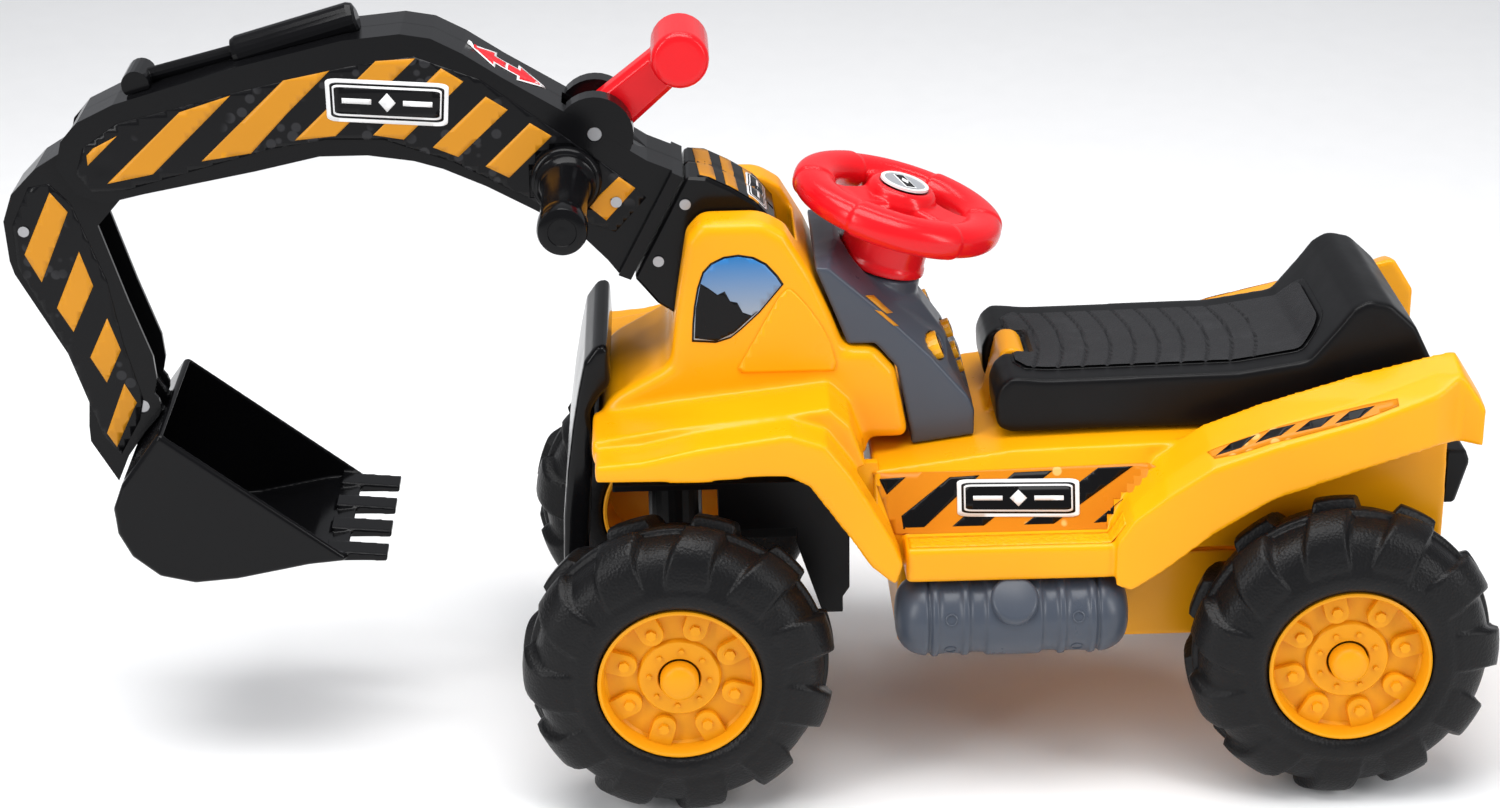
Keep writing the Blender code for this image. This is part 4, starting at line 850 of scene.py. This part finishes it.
def make_arm_stickers():
    for tag, side in SIDES:
        tree = surface("boom_" + tag)
        inwards = (0, -side, 0)
        draped(
            "boom_field_" + tag, [on_side(BOOM_FIELD, side * BOOM_SIDE)],
            inwards, tree, gravel, "boom", 0.25, CLOSE
        )
        stripes = [on_side(p, side * BOOM_SIDE) for p in BOOM_STRIPES]
        draped("boom_stripes_" + tag, stripes, inwards, tree, print_orange, "boom", 0.42, CLOSE)
        quad = facing(on_side(BOOM_BADGE, side * BOOM_SIDE), side)
        badge("boom_badge_" + tag, quad, inwards, tree, "boom", 0.55, CLOSE)
        tree = surface("stick")
        draped(
            "stick_field_" + tag, [on_side(STICK_FIELD, side * STICK_SIDE)],
            inwards, tree, gravel, "stick_arm", 0.25, CLOSE
        )
        stripes = [on_side(p, side * STICK_SIDE) for p in STICK_STRIPES]
        draped("stick_stripes_" + tag, stripes, inwards, tree, print_orange, "stick_arm", 0.42, CLOSE)
    tree = surface("boom_left", "boom_right")
    down = (SLOPE[1], 0, -SLOPE[0])
    middle = (-88, 322)
    edges = [on_slope(p, middle, SLOPE) for p in (ARROW_EDGE, turned_about(ARROW_EDGE))]
    arrows = [on_slope(p, middle, SLOPE) for p in (ARROW, turned_about(ARROW))]
    draped("arrow_edge", edges, down, tree, print_white, "boom", 0.3, 12.0, 3.0)
    draped("arrow", arrows, down, tree, print_red, "boom", 0.5, 12.0, 3.0)


PANEL_FIELD = [(113, 98), (292, 102), (275, 87), (266, 74), (257, 66), (125, 66)]
PANEL_STRIPES = [
    [(117, 95), (132, 96), (121, 87)], [(129, 76), (157, 96), (174, 97), (141, 69), (130, 69)],
    [(194, 98), (216, 98.5), (175, 69), (157, 69)], [(242, 99.5), (262, 100), (215, 69), (198, 69)],
    [(276, 98), (285, 99), (253, 71), (238, 69)],
]
PANEL_BADGE = [(161, 95), (231, 94), (231, 73), (161, 75)]
WINDOW = [
    (13, 174), (13.5, 184), (14.5, 194), (16.5, 205), (19.5, 214),
    (24, 219), (31, 222.5), (39, 223.5), (47, 222), (54, 218),
    (60, 211), (63, 206), (50, 190), (40, 180.5), (34, 175.5), (26, 173),
]
WINDOW_MIDDLE = (36, 199)
WINDOW_RIM = 1.05  # the black edge, as a scale of the window
WINDOW_DARK = [
    (13.5, 175), (14.5, 193), (17.5, 208), (22, 205), (27, 201),
    (31, 203), (34, 197), (38, 196), (41, 190), (46, 188),
    (49.5, 190.5), (36, 177.8), (26, 173),
]
CONSOLE_MARKS = [
    [(111, 195), (116, 193), (127, 182.5), (123, 184)],
    [(116, 187.5), (120, 186), (130, 176.5), (127, 177.5)],
]
TURRET_SLOPE = (0.771, -0.637)
FENDER_BAND = [
    (300, 103), (346, 102), (388, 101.5), (406, 101.5), (406, 106),
    (388, 109.5), (346, 112), (315, 112), (303, 110),
]
FENDER_BARS = (313, 335, 357, 379)


def make_body_stickers():
    body = surface("rear_body")
    cab = surface("front_cowl")
    console = surface("console")
    for tag, side in SIDES:
        inwards = (0, -side, 0)
        draped(
            "panel_field_" + tag, [on_side(PANEL_FIELD, side * PANEL_SIDE)],
            inwards, body, panel_orange, "body", 0.25, 5.0
        )
        stripes = [on_side(p, side * PANEL_SIDE) for p in PANEL_STRIPES]
        draped("panel_stripes_" + tag, stripes, inwards, body, print_black, "body", 0.45, 5.0)
        quad = facing(on_side(PANEL_BADGE, side * PANEL_SIDE), side)
        badge("panel_badge_" + tag, quad, inwards, body, "body", 0.6, 5.0)
        x0, z0 = WINDOW_MIDDLE
        outer = [(x0 + (x - x0) * WINDOW_RIM, z0 + (z - z0) * WINDOW_RIM) for x, z in WINDOW]
        draped(
            "window_rim_" + tag, [on_side(outer, side * CAB_SIDE)], inwards, cab, print_black, "body", 0.25
        )
        draped("window_sky_" + tag, [on_side(WINDOW, side * CAB_SIDE)], inwards, cab, sky, "body", 0.42)
        draped(
            "window_dark_" + tag, [on_side(WINDOW_DARK, side * CAB_SIDE)],
            inwards, cab, print_black, "body", 0.58, step=2.0
        )
        band = [(FRONT_X + x, side * y, AXLE_Z + 120) for x, y in FENDER_BAND]
        draped("fender_band_" + tag, [band], (0, 0, -1), body, panel_orange, "body", 0.3, 60.0)
        bars = []
        for x in FENDER_BARS:
            flat = ((x, 103.4), (x + 14, 103.4), (x + 5, 108.5), (x - 9, 108.5))
            bars.append([(FRONT_X + a, side * y, AXLE_Z + 120) for a, y in flat])
        draped("fender_bars_" + tag, bars, (0, 0, -1), body, print_black, "body", 0.5, 60.0)
        marks = [on_side(p, side * CONSOLE_SIDE) for p in CONSOLE_MARKS]
        draped("console_marks_" + tag, marks, inwards, console, print_orange, "body", 0.3)
    turret = surface("turret_left", "turret_right")
    start = (20, 263)
    down = (TURRET_SLOPE[1], 0, -TURRET_SLOPE[0])
    field = on_slope([(-1, -25), (46, -25), (46, 25), (-1, 25)], start, TURRET_SLOPE)
    draped("turret_field", [field], down, turret, print_black, "boom", 0.3)
    bands = []
    for s, wide in ((0, 9), (15, 8), (30, 7)):
        bands.append(
            on_slope([(s, -24), (s + wide, -24), (s + wide - 4, 24), (s - 3, 24)], start, TURRET_SLOPE)
        )
    draped("turret_stripes", bands, down, turret, print_orange, "boom", 0.5)
    quad = on_slope([(44, -20), (44, 20), (29, 20), (29, -20)], start, TURRET_SLOPE)
    badge("turret_badge", quad, down, turret, "boom")


# ---------------------------------------------------------------- seat pad

PAD_HALF = 44.0
BANDS = 9


def band_relief(point):
    """Raised bands, bowed backwards, with narrow grooves between them."""
    x, y = point.x - FRONT_X, point.y
    bow = 7.0 * (1 - (y / PAD_HALF) ** 2)
    pitch = (336.0 - 208.0) / BANDS
    at = (x - bow - 208.0) / pitch
    if at > BANDS:
        return 1.2
    apart = abs(at - round(at)) * pitch
    return 1.2 * ease(apart / 1.5)


def make_seat_pad():
    seat = surface("seat")
    plan = [(197, -35), (203, -PAD_HALF), (342, -PAD_HALF)] + arc((358, -24), 20, -80, 0, 7) + arc(
        (358, 24), 20, 0, 80, 7
    )
    plan += [(342, PAD_HALF), (203, PAD_HALF), (197, 35)]
    field = [(FRONT_X + x, y, 252.0) for x, y in plan]
    draped("seat_groove", [field], (0, 0, -1), seat, seat_shell, "seat_lid", 0.12, 40.0, 3.0)
    inner = [(FRONT_X + 275 + (x - 275) * 0.978, y * 0.965, 252.0) for x, y in plan]
    draped("seat_pad", [inner], (0, 0, -1), seat, seat_grain, "seat_lid", 0.35, 40.0, 1.1, band_relief)


# ---------------------------------------------------------------- grips, button inserts, moulded lines

GRIP = (-57, 261)
CAB_POINTS = [(38, 156), (42, 163), (57, 191), (65, 204), (71, 202), (88, 178), (94, 158)]
BUTTONS = {
    "left": ((102.7, -34.0, 246.4), 7.6, 8.2), "right": ((102.7, 34.0, 246.4), 7.6, 8.2),
    "upper": ((112.2, 0.0, 243.4), 4.6, 5.0),
    "middle": ((116.2, 0.0, 229.4), 4.6, 4.4),
}
SEAM = [(84, 104), (116, 104), (122, 80), (122, 62), (108, 62)]
FACE_OUT = Vector((0.938, 0, 0.347))


def make_grips():
    """The collar, the shank's waist and the end knob of each side handle on the arm."""
    for tag, side in SIDES:
        profile = [
            (0.0, 24.0), (20.0, 24.2), (20.4, 25.5), (20.0, 29.0),
            (18.8, 30.2), (17.6, 30.6), (17.2, 34.0), (15.0, 35.6),
            (13.2, 40.0), (12.8, 60.0), (12.9, 96.0), (13.6, 98.0),
            (13.9, 100.0), (13.9, 110.0), (13.2, 112.4), (11.0, 113.4),
            (8.0, 113.6), (7.4, 112.6), (4.0, 112.4), (3.4, 113.0), (0.0, 113.2),
        ]
        where = Vector((FRONT_X + GRIP[0], 0, AXLE_Z + GRIP[1]))
        new_object(
            "grip_" + tag, moved(turned(profile, 48), aimed(where, (0, side, 0))), black_gloss, "boom", 40
        )


def make_button_inserts():
    """Dark printed discs set in the yellow caps."""
    side_axis = Vector((0, 1, 0))
    up_axis = FACE_OUT.cross(side_axis)
    for tag, (centre, wide, tall) in BUTTONS.items():
        tree = surface("button_" + tag)
        power = 1.0 if wide > 6 else 0.45
        dark, glow = [], []
        for i in range(28):
            a = 2 * math.pi * i / 28
            c = math.copysign(abs(math.cos(a)) ** power, math.cos(a))
            t = math.copysign(abs(math.sin(a)) ** power, math.sin(a))
            for points, share in ((dark, 0.78), (glow, 0.34)):
                offset = side_axis * (wide * share * c) + up_axis * (tall * share * t)
                points.append(tuple(Vector(centre) + offset))
        towards = -FACE_OUT
        draped(
            "button_dark_" + tag, [dark], towards, tree, print_black, "button_%s_unit" % tag, 0.2, 12.0, 1.5
        )
        draped(
            "button_glow_" + tag, [glow], towards, tree, print_orange, "button_%s_unit" % tag, 0.4, 12.0, 1.5
        )


def make_sills():
    """The pimpled foot strips, and the cowl's inner edge where it meets the rear body."""
    body = surface("rear_body")
    for tag, side in SIDES:
        plan = [(132, 97), (262, 97), (262, 111), (132, 111)]
        field = [(FRONT_X + x, side * y, AXLE_Z + 62) for x, y in plan]
        draped("sill_tread_" + tag, [field], (0, 0, -1), body, tread, "body", 0.25, 20.0)
        edge = prism([front(x, z) for x, z in SEAM], *sorted((side * 70, side * 76)), 0.8)
        new_object("cowl_seam_" + tag, edge, body_yellow, "body", 40)


def make_cab_panels():
    """The raised moulded panel beside each window."""
    cab = surface("front_cowl")
    plan = smooth_line(CAB_POINTS, 2) + [(93, 153), (40, 153)]
    for tag, side in SIDES:
        made = draped(
            "cab_panel_" + tag, [on_side(plan, side * CAB_SIDE)], (0, -side, 0), cab, body_yellow, "body", 0.3
        )
        made.modifiers["skin"].thickness = 1.4 * MM


# ---------------------------------------------------------------- studio


def camera_rows(yaw, pitch, roll):
    forward = Vector((math.sin(yaw) * math.cos(pitch), math.cos(yaw) * math.cos(pitch), -math.sin(pitch)))
    right = Vector((math.cos(yaw), -math.sin(yaw), 0))
    down = forward.cross(right)
    c, s = math.cos(roll), math.sin(roll)
    return c * right + s * down, -s * right + c * down, forward


def make_camera():
    data = bpy.data.cameras.new("camera")
    data.lens = 72.70
    data.sensor_width = 36
    data.shift_x = 0.00722
    data.shift_y = 0.00254
    made = bpy.data.objects.new("camera", data)
    bpy.context.scene.collection.objects.link(made)
    right, down, forward = camera_rows(0.0216618, 0.4038055, 0.0168063)
    turn = Matrix((right, -down, -forward)).transposed().to_4x4()
    made.matrix_world = Matrix.Translation((-0.0427, -1.6525, 0.9033)) @ turn
    bpy.context.scene.camera = made


def make_light(name, where, aim, size, power, colour=(1, 1, 1)):
    data = bpy.data.lights.new(name, "AREA")
    data.shape = "RECTANGLE"
    data.size, data.size_y = size
    data.energy = power
    data.color = colour
    made = bpy.data.objects.new(name, data)
    bpy.context.scene.collection.objects.link(made)
    made.matrix_world = aimed(where, Vector(where) - Vector(aim))


def make_studio():
    bm = bmesh.new()
    bmesh.ops.create_grid(bm, x_segments=8, y_segments=8, size=6000.0)
    floor = new_object("floor", moved(bm, Matrix.Translation((0, 0, -0.4))), smooth=0)
    look = Look("floor", (0.93, 0.93, 0.93), 0.6)
    look.colour((0.93, 0.93, 0.93), 0.004)
    floor.data.materials.append(look.material)
    world = bpy.data.worlds.new("studio")
    world.use_nodes = True
    world.node_tree.nodes["Background"].inputs["Color"].default_value = (0.93, 0.95, 1.0, 1)
    world.node_tree.nodes["Background"].inputs["Strength"].default_value = 0.40
    bpy.context.scene.world = world
    bpy.context.scene.view_settings.view_transform = "Standard"
    make_light("top_light", (-0.1, -0.3, 1.9), (0, 0, 0.2), (1.8, 1.1), 40)
    make_light("left_light", (-1.6, -1.3, 1.1), (0, 0, 0.2), (0.5, 1.4), 20)
    make_light("right_light", (1.7, -1.2, 1.0), (0.1, 0, 0.2), (0.4, 1.4), 16)
    make_light("rim_light", (0.2, 1.2, 2.2), (0, 0, 0.25), (1.6, 0.5), 9)


make_wheels()
dress_nodes()
for side_tag, side_sign in SIDES:
    make_tank(side_tag, side_sign)
make_steering_look()
make_arm_stickers()
make_body_stickers()
make_seat_pad()
make_grips()
make_button_inserts()
make_sills()
make_cab_panels()
make_camera()
make_studio()
